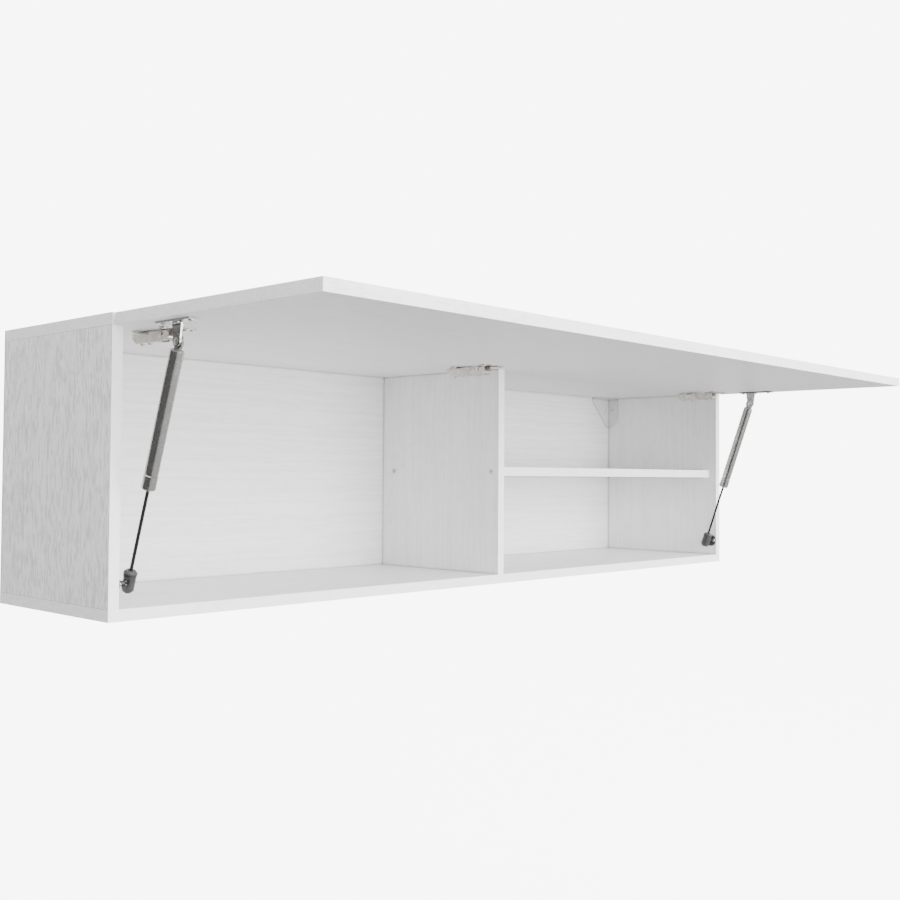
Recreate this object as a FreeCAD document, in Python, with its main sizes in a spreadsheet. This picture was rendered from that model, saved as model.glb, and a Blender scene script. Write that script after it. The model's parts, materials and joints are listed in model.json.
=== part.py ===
import FreeCAD, Part
import math
import os
import re
from FreeCAD import Placement, Rotation, Vector

# Lift-up wall cabinet: a wide open-fronted carcass of two bays, with one flap that swings up on three
# concealed cup hinges and is held open by two gas struts.
#
# Frame: millimetres, +X to the right, +Y to the wall, +Z up. The origin is midway between the two wall
# screws, on the wall plane, so the carcass stands at -Y. The flap is modelled open, level with the top.

SIZES = (
    # carcass
    ("cabinet_width", 1600, "overall width"),
    ("cabinet_height", 400, "overall height of the carcass"),
    ("carcass_depth", 290, "depth of the boards, without the back"),
    ("board", 16, "thickness of the carcass boards"),
    ("back_sheet", 3, "thickness of the nailed-on back"),
    ("edge_band", 0.8, "thickness of the edge bands"),
    ("shelf_height", 200, "middle of the shelf above the underside of the carcass"),
    ("divider_shift", 0, "middle of the divider to the right of the middle of the carcass"),
    ("corner_screw_inset", 38, "first and last board screw from the front and the rear"),
    ("shelf_screw_front", 17, "front shelf screw behind the front"),
    ("shelf_screw_rear", 30, "rear shelf screw before the back"),
    ("nail_pitch", 170, "spacing of the nails along the back"),
    # wall fixing
    ("wall_hole_drop", 44, "wall screws below the top of the carcass"),
    ("wall_hole_side", 32, "wall screws in from the outside of the carcass"),
    ("wall_hole_radius", 3.0, "radius of the wall screw holes"),
    ("hanger_leg", 70, "length of the hanging bracket's straight edges"),
    ("hanger_flange", 27, "width of the hanging bracket's flanges"),
    ("hanger_sheet", 2.0, "thickness of the hanging bracket"),
    ("hanger_tip", 8, "blunt ends of the hanging bracket's slanting edge"),
    ("hanger_slope", 14, "hanging bracket's flanges shorter at their edges than at their folds"),
    ("hanger_corner", 3, "corner radius of the hanging bracket"),
    # flap
    ("door_board", 16, "thickness of the flap"),
    ("door_side_reveal", 1.5, "flap short of the carcass at each side"),
    ("door_top_reveal", 2.0, "closed flap short of the top of the carcass"),
    ("door_bottom_reveal", 1.0, "closed flap short of the underside of the carcass"),
    ("door_closed_gap", 3.0, "closed flap in front of the carcass"),
    ("door_open_gap", 4.5, "open flap's edge in front of the carcass"),
    ("door_open_drop", 1.0, "open flap's face below the underside of the top panel"),
    # cup hinges
    ("hinge_inset", 76, "outer hinges in from the outside of the carcass"),
    ("hinge_divider_inset", 64, "middle hinge to the left of the divider"),
    ("cup_radius", 17.5, "radius of the hinge cup"),
    ("cup_depth", 12.5, "depth of the hinge cup in the flap"),
    ("cup_set", 22.5, "middle of the cup from the flap's hinge edge"),
    ("cup_sheet", 0.8, "wall of the cup"),
    ("cup_round", 2.5, "radius between the cup's wall and its floor"),
    ("cup_fit", 0.1, "play of the cup in its bore"),
    ("flange_sheet", 1.2, "thickness of the cup's flange"),
    ("flange_lip", 1.5, "flange past the cup's wall"),
    ("flange_half_span", 28.5, "half the width across the flange's ears"),
    ("ear_half_width", 5.5, "half the width of the flange's ears"),
    ("lug_front", 8, "cup's lugs before its middle"),
    ("lug_rear", 5, "cup's lugs behind its middle"),
    ("cup_screw_pitch", 45, "spacing of the two cup screws"),
    ("cup_screw_set", 9.5, "cup screws further from the flap's edge than the cup's middle"),
    ("arm_rear", 60, "rear end of the hinge arm behind the front"),
    ("arm_nose", 13, "nose of the hinge arm before the front"),
    ("arm_drop", 16.5, "hinge arm below the top panel"),
    ("arm_half_width", 9, "half the width of the hinge arm"),
    ("nose_half_width", 6.4, "half the width of the arm's nose"),
    ("taper_start", 3, "arm begins to widen behind the front"),
    ("taper_end", 15, "arm is at its full width behind the front"),
    ("taper_bend", 6, "radius of the bends of the arm's taper"),
    ("arm_corner", 2.5, "corner radius of the arm's rear end"),
    ("heel_run", 14, "length of the slope at the arm's rear end"),
    ("heel_rise", 9, "height of the same slope"),
    ("pin_margin", 3.3, "steel round the arm's pin holes"),
    ("hinge_sheet", 1.2, "thickness of the hinge's pressed steel"),
    ("plate_line", 37, "mounting plate's screw line behind the front"),
    ("plate_screw_pitch", 32, "spacing of the mounting plate's two screws"),
    ("plate_sheet", 2.0, "thickness of the mounting plate"),
    ("plate_ear", 5.5, "radius of the mounting plate's ears"),
    ("plate_reach", 18, "mounting plate's block before and behind its screw line"),
    ("plate_corner", 2, "corner radius of the same block"),
    ("adjuster_spread", 10, "arm's screws before and behind the screw line"),
    ("adjuster_radius", 2.0, "radius of the arm's screws"),
    ("adjuster_length", 6, "length of the arm's screws"),
    ("adjuster_head_radius", 3.6, "head radius of the arm's screws"),
    ("adjuster_head_height", 2.0, "head height of the arm's screws"),
    ("slot_travel", 3, "slot of the arm's rear screw past it each way"),
    ("hinge_pin_radius", 1.5, "radius of the hinge's pins"),
    ("hinge_pin_rim", 0.8, "riveted rim of the outer links' pins"),
    ("outer_pin_forward", 9.5, "outer link's pin before the front"),
    ("outer_pin_drop", 6.5, "outer link's pin below the top panel"),
    ("inner_pin_forward", 5.5, "inner link's pin before the front"),
    ("inner_pin_drop", 12.5, "inner link's pin below the top panel"),
    ("outer_link_length", 14.0, "outer link between its pins"),
    ("outer_link_rise", 24, "degrees that the outer link rises forward"),
    ("outer_link_belly", 9.6, "outer link's belly below its arm pin"),
    ("outer_link_eye", 3.2, "outer link round its arm pin"),
    ("outer_link_tip", 2.2, "outer link round its cup pin"),
    ("outer_link_toe", 5, "outer link's toe past its cup pin"),
    ("outer_link_sole", 4, "length of the sole that joins the outer link's cheeks"),
    ("outer_link_round", 3, "corner radius of the outer link"),
    ("inner_link_length", 16.4, "inner link between its pins"),
    ("inner_link_rise", 56.2, "degrees that the inner link rises forward"),
    ("inner_link_eye", 2.6, "half the inner link's height at its arm pin"),
    ("inner_link_tip", 2.0, "half the inner link's height at its cup pin"),
    ("inner_link_round", 1.8, "corner radius of the inner link"),
    ("stub_reach", 1.5, "outer link's stubs past its cheeks"),
    ("cup_notch_depth", 5.5, "notch in the cup's wall for the inner link"),
    ("inner_link_half_width", 4.6, "half the width of the inner link"),
    ("running_play", 0.05, "radial play of a pin in its hole"),
    ("side_play", 0.4, "play between hinge parts side by side"),
    # gas struts
    ("strut_side", 22, "strut's axis in from the inside of the side panel"),
    ("rivet_forward", 94, "strut's upper rivet before the carcass"),
    ("rivet_drop", 25.5, "strut's upper rivet below the flap's face"),
    ("stud_back", 13, "strut's lower ball behind the front"),
    ("stud_height", 48, "strut's lower ball above the underside of the carcass"),
    ("tube_radius", 9.3, "outside radius of the strut's tube"),
    ("tube_wall", 1.2, "wall of the strut's tube"),
    ("tube_shoulder", 2.5, "radius of the tube's closed shoulder"),
    ("tube_crown", 4, "thickness of the tube's closed end"),
    ("tube_start", 10.5, "tube's upper end below the rivet"),
    ("tube_length", 165, "length of the tube without its gland"),
    ("gland_length", 22, "length of the gland at the tube's lower end"),
    ("gland_radius", 9.6, "outside radius of the gland"),
    ("gland_groove", 1.6, "groove between the tube and the gland"),
    ("gland_step", 1.1, "depth of the same groove"),
    ("gland_bevel", 1.8, "bevel of the gland's lower end"),
    ("rod_radius", 2.3, "radius of the piston rod"),
    ("rod_play", 0.1, "play of the rod in the gland"),
    ("rod_seat", 4, "rod's lower end above the ball"),
    ("piston_length", 14, "length of the piston"),
    ("piston_rest", 8, "piston above the gland while the flap is open"),
    ("piston_play", 0.3, "play of the piston in the tube"),
    ("piston_groove", 4, "width of the piston's seal groove"),
    ("piston_groove_depth", 1.5, "depth of the same groove"),
    ("tongue_sheet", 3.0, "thickness of the tube's flat end"),
    ("tongue_radius", 8.5, "radius of the tube's flat end"),
    ("tongue_neck", 5.0, "half the width of the flat end at the tube"),
    ("tongue_bend", 3, "radius where the flat end begins to narrow"),
    ("rivet_radius", 3.0, "radius of the upper rivet"),
    ("rivet_head_radius", 4.8, "head radius of the upper rivet"),
    ("rivet_head", 1.6, "head height of the upper rivet"),
    ("socket_radius", 9.2, "radius of the ball socket"),
    ("socket_above", 18, "socket above the ball's middle"),
    ("socket_below", 13, "socket below the ball's middle"),
    ("socket_bevel", 3, "bevel of the socket's upper end"),
    ("socket_head", 5.5, "socket's head above its groove"),
    ("socket_groove", 1.4, "width of the socket's groove"),
    ("socket_groove_depth", 0.8, "depth of the socket's groove"),
    ("socket_waist", 0.4, "socket's body thinner than its head"),
    ("socket_foot", 4, "height of the bevel at the socket's lower end"),
    ("socket_foot_bevel", 3.2, "width of the same bevel"),
    ("socket_mouth", 10, "socket's open side above the ball's middle"),
    ("ball_radius", 5.0, "radius of the ball"),
    ("ball_play", 0.3, "play of the ball in its socket"),
    ("ball_cover", 4.0, "socket's open face to the ball's middle"),
    ("stud_radius", 3.5, "radius of the stud's neck"),
    ("stud_plate_radius", 12.8, "radius of the stud's round plate"),
    ("stud_screw_reach", 8.6, "stud plate's screws above and below its middle"),
    ("stud_flare", 1.2, "flare of the stud's neck at its plate"),
    ("stud_flare_height", 3, "height of the same flare"),
    ("stud_tip", 1.2, "bevel of the stud's neck at the ball"),
    ("stud_plate_sheet", 2.5, "thickness of the stud's round plate"),
    ("bracket_sheet", 2.5, "thickness of the flap's strut bracket"),
    ("bracket_bend", 1.5, "inside radius of the strut bracket's fold"),
    ("bracket_corner", 4, "corner radius of the strut bracket's plate"),
    ("bracket_screw_inset", 7, "strut bracket's outer screws in from its ends"),
    ("leg_radius", 7.5, "radius of the bracket's leg round the rivet"),
    ("leg_top", 10.5, "half the width of the leg at the plate"),
    ("leg_bend", 6, "radius of the bends of the leg's edges"),
    ("bracket_width", 16, "width of the strut bracket's plate"),
    ("bracket_rear", 27, "strut bracket's plate behind the rivet"),
    ("bracket_front", 45, "strut bracket's plate before the rivet"),
    # fasteners
    ("pilot_play", 0.1, "play of a screw in its hole"),
    ("board_screw_radius", 3.5, "shank radius of the screws through the boards"),
    ("board_screw_thread_radius", 2.5, "thread radius of the same screws"),
    ("board_screw_length", 50, "length of the same screws"),
    ("board_screw_head_radius", 5.0, "head radius of the same screws"),
    ("board_screw_head_height", 4.0, "head height of the same screws"),
    ("board_screw_shank", 12, "smooth part of the same screws, with the head"),
    ("board_screw_tip", 4, "point of the same screws"),
    ("cap_radius", 6.5, "radius of the caps over the screw heads"),
    ("cap_thickness", 1.0, "thickness of the caps"),
    ("dowel_radius", 4.0, "radius of the dowels"),
    ("dowel_length", 30, "length of the dowels"),
    ("dowel_seat", 10, "depth of the dowels in the board across"),
    ("dowel_chamfer", 1.2, "chamfer of the dowels' ends"),
    ("wood_screw_radius", 1.75, "radius of the hardware screws"),
    ("wood_screw_length", 13, "length of the hardware screws under the head"),
    ("wood_screw_head_radius", 3.5, "head radius of the hardware screws"),
    ("wood_screw_head_height", 1.8, "head height of the hardware screws"),
    ("nail_radius", 0.8, "radius of the back's nails"),
    ("nail_length", 20, "length of the back's nails"),
    ("nail_head_radius", 1.8, "head radius of the back's nails"),
    ("nail_head_height", 0.5, "head height of the back's nails"),
)

# Sizes that follow from the ones above. P is the line that the flap turns about.
LAYOUT = (
    ("half_width", "cabinet_width / 2"),
    ("inner_half_width", "half_width - board"),
    ("top_z", "wall_hole_drop"),
    ("under_top", "top_z - board"),
    ("bottom_z", "top_z - cabinet_height"),
    ("over_bottom", "bottom_z + board"),
    ("inner_height", "cabinet_height - 2 * board"),
    ("rear_y", "-back_sheet"),
    ("front_y", "rear_y - carcass_depth"),
    ("panel_front", "front_y + edge_band"),
    ("panel_depth", "carcass_depth - edge_band"),
    ("middle_y", "front_y + carcass_depth / 2"),
    ("shelf_z", "bottom_z + shelf_height - board / 2"),
    ("shelf_length", "inner_half_width - divider_shift - board / 2"),
    ("front_screw_y", "front_y + corner_screw_inset"),
    ("rear_screw_y", "rear_y - corner_screw_inset"),
    ("wall_hole_x", "half_width - wall_hole_side"),
    ("door_length", "cabinet_height - door_top_reveal - door_bottom_reveal"),
    ("door_half_width", "half_width - door_side_reveal"),
    ("door_edge_y", "front_y - door_open_gap"),
    ("door_face_z", "under_top - door_open_drop"),
    ("pivot_forward", "(board + door_open_drop + door_closed_gap - door_top_reveal + door_open_gap) / 2"),
    ("pivot_rise", "(board + door_open_drop - door_closed_gap - door_top_reveal + door_open_gap) / 2"),
    ("hinge_x", "half_width - hinge_inset"),
    ("middle_hinge_x", "divider_shift - board / 2 - hinge_divider_inset"),
    ("cup_y", "door_edge_y - cup_set"),
    ("cup_screw_y", "cup_y - cup_screw_set"),
    ("cup_inner_radius", "cup_radius - cup_sheet"),
    ("outer_cheek", "nose_half_width + side_play"),
    ("outer_half_width", "outer_cheek + hinge_sheet"),
    ("strut_x", "inner_half_width - strut_side"),
    ("rivet_y", "front_y - rivet_forward"),
    ("rivet_z", "door_face_z - rivet_drop"),
    ("stud_y", "front_y + stud_back"),
    ("stud_z", "bottom_z + stud_height"),
    ("strut_run", "stud_y - rivet_y"),
    ("strut_rise", "rivet_z - stud_z"),
    ("strut_length", "sqrt(strut_run ^ 2 + strut_rise ^ 2)"),
    ("strut_tilt", "atan2(strut_run; strut_rise)"),
    ("tube_end", "tube_start + tube_length"),
    ("gland_end", "tube_end + gland_length"),
    ("closed_rivet_back", "pivot_rise + rivet_drop - pivot_forward"),
    ("notch_depth", "closed_rivet_back + gland_radius + 2 * side_play"),
    ("notch_width", "strut_side + gland_radius + 2 * side_play"),
    ("leg_in", "tongue_sheet / 2 + side_play"),
    ("leg_out", "leg_in + bracket_sheet"),
    ("bracket_line", "leg_in + bracket_width / 2"),
    ("stud_neck", "strut_side - ball_radius - side_play"),
    ("piston_top", "tube_end - piston_length - piston_rest"),
    ("rod_end", "strut_length - ball_radius - rod_seat"),
    ("socket_top", "strut_length - socket_above"),
)

# A cutting tool runs this far past the face that it cuts; points nearer than TOUCH are one point.
PAST = 1.0
TOUCH = 1e-6

DOC = FreeCAD.newDocument("lift_up_wall_cabinet")
TURNS = {
    "+X": Rotation(Vector(0, 1, 0), 90),
    "-X": Rotation(Vector(0, 1, 0), -90),
    "+Y": Rotation(Vector(1, 0, 0), -90),
    "-Y": Rotation(Vector(1, 0, 0), 90),
    "+Z": Rotation(),
    "-Z": Rotation(Vector(1, 0, 0), 180),
}
SHEET_OF = {}


def formula(text):
    """A formula with each alias given its sheet, as an expression needs it."""
    return re.sub(r"[a-z_]+", lambda word: SHEET_OF.get(word.group(), "") + word.group(), str(text))


def make_sheets():
    """The sheet of driving sizes, and the sheet of what follows from them."""
    sizes = DOC.addObject("Spreadsheet::Sheet", "Sizes")
    for row, (alias, value, meaning) in enumerate(SIZES, start=1):
        sizes.set(f"A{row}", meaning)
        sizes.set(f"B{row}", str(value))
        sizes.setAlias(f"B{row}", alias)
        SHEET_OF[alias] = "Sizes."
    layout = DOC.addObject("Spreadsheet::Sheet", "Layout")
    for row, (alias, text) in enumerate(LAYOUT, start=1):
        layout.set(f"B{row}", "=" + formula(text))
        layout.setAlias(f"B{row}", alias)
        SHEET_OF[alias] = "Layout."
    DOC.recompute()
    return sizes, layout


def size(alias):
    """The number that stands in a sheet under an alias."""
    sheet = SIZE_SHEET if SHEET_OF[alias] == "Sizes." else LAYOUT_SHEET
    value = sheet.get(alias)
    return float(getattr(value, "Value", value))


def bind(thing, **formulas):
    """Bind properties of an object to formulas."""
    for name, text in formulas.items():
        thing.setExpression(name, formula(text))
    return thing


def place(thing, spot):
    """Put an object at a spot: x, y and z as formulas, and the way its own +Z points."""
    *corner, toward = spot
    thing.Placement = Placement(Vector(), TURNS[toward])
    for axis, text in zip("xyz", corner):
        thing.setExpression(f"Placement.Base.{axis}", formula(text))
    return thing


def box(label, corner, lengths):
    """A rectangular board from its low corner and its lengths."""
    board = DOC.addObject("Part::Box", label)
    bind(board, Length=lengths[0], Width=lengths[1], Height=lengths[2])
    return place(board, (*corner, "+Z"))


def drill(spots, radius, depth):
    """One bore for each spot, from the spot along the way it points."""
    bores = []
    for spot in spots:
        bore = bind(DOC.addObject("Part::Cylinder", "bore"), Radius=radius, Height=depth)
        bores.append(place(bore, spot))
    return bores


def cut(label, blank, tools):
    """A blank with bores and cut-outs taken out of it."""
    group = DOC.addObject("Part::Compound", label + "_cuts")
    group.Links = tools
    piece = DOC.addObject("Part::Cut", label)
    piece.Base = blank
    piece.Tool = group
    return piece


def gather(label, pieces):
    """Separate solids of one kind as one node."""
    group = DOC.addObject("Part::Compound", label)
    group.Links = pieces
    return group


def copies(label, pattern, spots):
    """Copies of one fastener at its spots, as one node of separate solids."""
    DOC.recompute()
    placed = []
    for spot in spots:
        copy = DOC.addObject("Part::Feature", label + "_copy")
        copy.Shape = pattern.Shape
        placed.append(place(copy, spot))
    return gather(label, placed)


def start_body(label):
    """An empty body."""
    return DOC.addObject("PartDesign::Body", label)


def start_sketch(body, plane, offset="0"):
    """A sketch on one of the body's own planes, moved off it by a formula."""
    sketch = body.newObject("Sketcher::SketchObject", body.Name + "_sketch")
    support = next(item for item in body.Origin.OriginFeatures if item.Role == plane + "_Plane")
    sketch.AttachmentSupport = [(support, "")]
    sketch.MapMode = "FlatFace"
    sketch.setExpression("AttachmentOffset.Base.z", formula(offset))
    return sketch


def outline(sketch, corners):
    """Draw a closed outline; each corner is its two coordinates and its fillet radius."""
    points = [Vector(u, v, 0) for u, v, _ in corners]
    ends = []
    pieces = []
    for index, (_, _, radius) in enumerate(corners):
        here = points[index]
        back = (points[index - 1] - here).normalize()
        ahead = (points[(index + 1) % len(points)] - here).normalize()
        if radius == 0:
            ends.append((here, here))
            continue
        half = back.getAngle(ahead) / 2
        trim = radius / math.tan(half)
        bisector = (back + ahead).normalize()
        crown = here + bisector * (radius / math.sin(half) - radius)
        ends.append((here + back * trim, here + ahead * trim))
        pieces.append(Part.Arc(ends[-1][0], crown, ends[-1][1]))
    for index in range(len(ends)):
        if ends[index - 1][1].distanceToPoint(ends[index][0]) > TOUCH:
            pieces.append(Part.LineSegment(ends[index - 1][1], ends[index][0]))
    sketch.addGeometry(pieces, False)
    return sketch


def circle(sketch, u, v, radius):
    """Draw a full circle."""
    sketch.addGeometry(Part.Circle(Vector(u, v, 0), Vector(0, 0, 1), radius), False)
    return sketch


def extrude(body, kind, sketch, length, symmetric=False, reverse=False):
    """A Pad or a Pocket of a sketch."""
    feature = body.newObject("PartDesign::" + kind, body.Name + "_" + kind.lower())
    feature.Profile = sketch
    feature.SideType = "Symmetric" if symmetric else "One side"
    feature.Reversed = reverse
    return bind(feature, Length=length)


def revolve(body, kind, sketch, axis="V_Axis"):
    """A Revolution or a Groove of a sketch about one of its own axes."""
    feature = body.newObject("PartDesign::" + kind, body.Name + "_" + kind.lower())
    feature.Profile = sketch
    feature.ReferenceAxis = (sketch, [axis])
    feature.Angle = 360
    return feature


def turned(label, corners):
    """A turned body about +Z; each corner is radius, height and fillet."""
    body = start_body(label)
    revolve(body, "Revolution", outline(start_sketch(body, "XZ"), corners))
    return body


SIZE_SHEET, LAYOUT_SHEET = make_sheets()


# ------------------------------------------------------------------ spots shared by holes and fasteners

POSTS = (
    ("left_side_panel", "-(half_width - board / 2)"),
    ("centre_divider", "divider_shift"),
    ("right_side_panel", "half_width - board / 2"),
)
SIDES = (("left", "-", "-X"), ("right", "+", "+X"))
HINGES = (("left", "-hinge_x"), ("middle", "middle_hinge_x"), ("right", "hinge_x"))


def top_screws(x):
    """Long screws down through the top panel into the board at x."""
    return [(x, y, "top_z", "-Z") for y in ("front_screw_y", "rear_screw_y")]


def bottom_screws(x):
    """Long screws up through the bottom panel into the board at x."""
    return [(x, y, "bottom_z", "+Z") for y in ("front_screw_y", "rear_screw_y")]


def dowel_spots(x):
    """Dowels at the two ends of the board at x."""
    return [
        (x, "middle_y", "under_top + dowel_seat - dowel_length", "+Z"),
        (x, "middle_y", "over_bottom - dowel_seat + dowel_length", "-Z"),
    ]


TOP_SCREWS = sum((top_screws(x) for _, x in POSTS), [])
BOTTOM_SCREWS = sum((bottom_screws(x) for _, x in POSTS), [])
DOWELS = sum((dowel_spots(x) for _, x in POSTS), [])
DIVIDER_SHELF_SCREWS = [
    ("divider_shift - board / 2", y, "shelf_z + board / 2", "+X")
    for y in ("front_y + shelf_screw_front", "rear_y - shelf_screw_rear")
]
SIDE_SHELF_SCREWS = [
    ("half_width", y, "shelf_z + board / 2", "-X")
    for y in ("front_y + notch_depth + shelf_screw_front", "rear_y - shelf_screw_rear")
]
PLATE_SCREWS = [
    (f"{x} {side} plate_screw_pitch / 2", "front_y + plate_line", "under_top - plate_sheet", "+Z")
    for _, x in HINGES
    for side in "-+"
]
CUP_SCREWS = [
    (f"{x} {side} cup_screw_pitch / 2", "cup_screw_y", "door_face_z - flange_sheet", "+Z")
    for _, x in HINGES
    for side in "-+"
]
BRACKET_SCREW_PLACES = (
    "bracket_rear - bracket_screw_inset",
    "(bracket_rear - bracket_front) / 2",
    "bracket_screw_inset - bracket_front",
)
BRACKET_SCREWS = [
    (f"{sign} (strut_x + bracket_line)", f"rivet_y + {along}", "door_face_z - bracket_sheet", "+Z")
    for _, sign, _ in SIDES
    for along in BRACKET_SCREW_PLACES
]
ADJUSTERS = [
    (x, f"front_y + plate_line {side} adjuster_spread", "under_top - arm_drop", "+Z")
    for _, x in HINGES
    for side in "-+"
]


def stud_screws(sign, way):
    """Screws of one strut's round plate, into the side panel."""
    face = f"{sign} (inner_half_width - stud_plate_sheet)"
    return [(face, f"stud_y {shift} stud_screw_reach", "stud_z", way) for shift in "-+"]


def hanger_side_screws(sign, way):
    """Screw of one hanging bracket, into the side panel."""
    return [(f"{sign} (inner_half_width - hanger_sheet)", "rear_y - hanger_flange / 2", "0", way)]


HANGER_TOP_SCREWS = [
    (f"{sign} wall_hole_x", "rear_y - hanger_flange / 2", "under_top - hanger_sheet", "+Z")
    for _, sign, _ in SIDES
]


def head_bores(spots):
    """Head and shank bores through a board for the long screws."""
    shanks = drill(spots, "board_screw_radius + pilot_play", "board")
    return shanks + drill(spots, "board_screw_head_radius + pilot_play", "board_screw_head_height + pilot_play")


def thread_bores(spots):
    """Bores for the threads of the long screws, in the board behind."""
    return drill(spots, "board_screw_thread_radius + pilot_play", "board_screw_length + pilot_play")


def pilot_bores(spots):
    """Bores for the hardware screws."""
    return drill(spots, "wood_screw_radius + pilot_play", "wood_screw_length + pilot_play")


def dowel_bores(spots):
    """Bores for the dowels."""
    return drill(spots, "dowel_radius + pilot_play", "dowel_length + pilot_play")


# ---------------------------------------------------------------------------------------- carcass

def make_carcass():
    """Boards and back of the carcass, bored for what holds them together."""
    made = []
    full = ("cabinet_width", "panel_depth", "board")
    top = box("top_blank", ("-half_width", "panel_front", "under_top"), full)
    bores = head_bores(TOP_SCREWS) + dowel_bores(DOWELS) + pilot_bores(PLATE_SCREWS + HANGER_TOP_SCREWS)
    made.append(cut("top_panel", top, bores))
    bottom = box("bottom_blank", ("-half_width", "panel_front", "bottom_z"), full)
    made.append(cut("bottom_panel", bottom, head_bores(BOTTOM_SCREWS) + dowel_bores(DOWELS)))
    own_bores = {
        "left_side_panel": pilot_bores(stud_screws("-", "-X") + hanger_side_screws("-", "-X")),
        "centre_divider": head_bores(DIVIDER_SHELF_SCREWS),
        "right_side_panel": pilot_bores(stud_screws("+", "+X") + hanger_side_screws("+", "+X"))
        + head_bores(SIDE_SHELF_SCREWS),
    }
    for label, x in POSTS:
        blank = box(label + "_blank", (f"{x} - board / 2", "panel_front", "over_bottom"),
                    ("board", "panel_depth", "inner_height"))
        bores = thread_bores(top_screws(x) + bottom_screws(x)) + dowel_bores(dowel_spots(x))
        made.append(cut(label, blank, bores + own_bores[label]))
    shelf = box("shelf_blank", ("divider_shift + board / 2", "panel_front", "shelf_z"),
                ("shelf_length", "panel_depth", "board"))
    bores = thread_bores(DIVIDER_SHELF_SCREWS + SIDE_SHELF_SCREWS)
    made.append(cut("shelf", shelf, [strut_notch("shelf_notch")] + bores))
    back = box("back_blank", ("-half_width", "rear_y", "bottom_z"),
               ("cabinet_width", "back_sheet", "cabinet_height"))
    holes = drill(wall_holes(f"rear_y - {PAST}"), "wall_hole_radius", f"back_sheet + 2 * {PAST}")
    made.append(cut("back_panel", back, holes))
    return made + [make_edge_bands(), make_dowels()]


def strut_notch(label):
    """The shelf's front corner, cut away where the closed strut hangs."""
    return box(label, ("inner_half_width - notch_width", f"front_y - {PAST}", f"shelf_z - {PAST}"),
               (f"notch_width + {PAST}", f"notch_depth + {PAST}", f"board + 2 * {PAST}"))


def wall_holes(y):
    """The two wall screw holes, from y towards the wall."""
    return [(f"{sign} wall_hole_x", y, "0", "+Y") for _, sign, _ in SIDES]


def make_edge_bands():
    """Bands glued on the front edges of the boards."""
    bands = []
    for level in ("bottom_z", "under_top"):
        bands.append(box("band", ("-half_width", "front_y", level),
                         ("cabinet_width", "edge_band", "board")))
    for _, x in POSTS:
        bands.append(box("band", (f"{x} - board / 2", "front_y", "over_bottom"),
                         ("board", "edge_band", "inner_height")))
    bands.append(box("band", ("divider_shift + board / 2", "front_y", "shelf_z"),
                     ("shelf_length - notch_width", "edge_band", "board")))
    return gather("front_edge_bands", bands)


def make_dowels():
    """Dowels in the ends of the sides and the divider."""
    radius, long, chamfer = size("dowel_radius"), size("dowel_length"), size("dowel_chamfer")
    pattern = turned("dowel_pattern", [
        (0, 0, 0), (radius - chamfer, 0, 0), (radius, chamfer, 0),
        (radius, long - chamfer, 0), (radius - chamfer, long, 0), (0, long, 0)])
    return copies("panel_dowels", pattern, DOWELS)


def make_board_screws():
    """Long board screws with their caps, and the shelf's screws."""
    head, tall = size("board_screw_head_radius"), size("board_screw_head_height")
    shank, smooth = size("board_screw_radius"), size("board_screw_shank")
    thread, long = size("board_screw_thread_radius"), size("board_screw_length")
    pattern = turned("board_screw_pattern", [
        (0, 0, 0), (head, 0, 0), (head, tall - (head - shank), 0), (shank, tall, 0), (shank, smooth, 0),
        (thread, smooth + shank - thread, 0), (thread, long - size("board_screw_tip"), 0), (0, long, 0)])
    edge, thin = size("cap_radius"), size("cap_thickness")
    cap = turned("cap_pattern", [(0, -thin, 0), (edge - thin / 2, -thin, 0), (edge, 0, 0), (0, 0, 0)])
    return [
        copies("top_panel_screws", pattern, TOP_SCREWS),
        copies("bottom_panel_screws", pattern, BOTTOM_SCREWS),
        copies("shelf_screws", pattern, DIVIDER_SHELF_SCREWS + SIDE_SHELF_SCREWS),
        copies("screw_caps", cap, TOP_SCREWS + BOTTOM_SCREWS),
    ]


def make_nails():
    """Nails along the rim of the back and up each upright board."""
    radius, long = size("nail_radius"), size("nail_length")
    head, tall = size("nail_head_radius"), size("nail_head_height")
    pattern = turned("nail_pattern", [
        (0, -tall, 0), (head, -tall, 0), (head, 0, 0), (radius, 0, 0),
        (radius, long - 2 * radius, 0), (0, long, 0)])
    count = int(size("half_width") // size("nail_pitch"))
    levels = ("top_z - board / 2", "bottom_z + board / 2")
    rim = [(f"{step} * nail_pitch", level) for step in range(-count, count + 1) for level in levels]
    rim += [(x, f"bottom_z + cabinet_height * {share}") for _, x in POSTS for share in ("1 / 3", "2 / 3")]
    return copies("back_nails", pattern, [(x, "-nail_head_height", z, "-Y") for x, z in rim])


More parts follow.
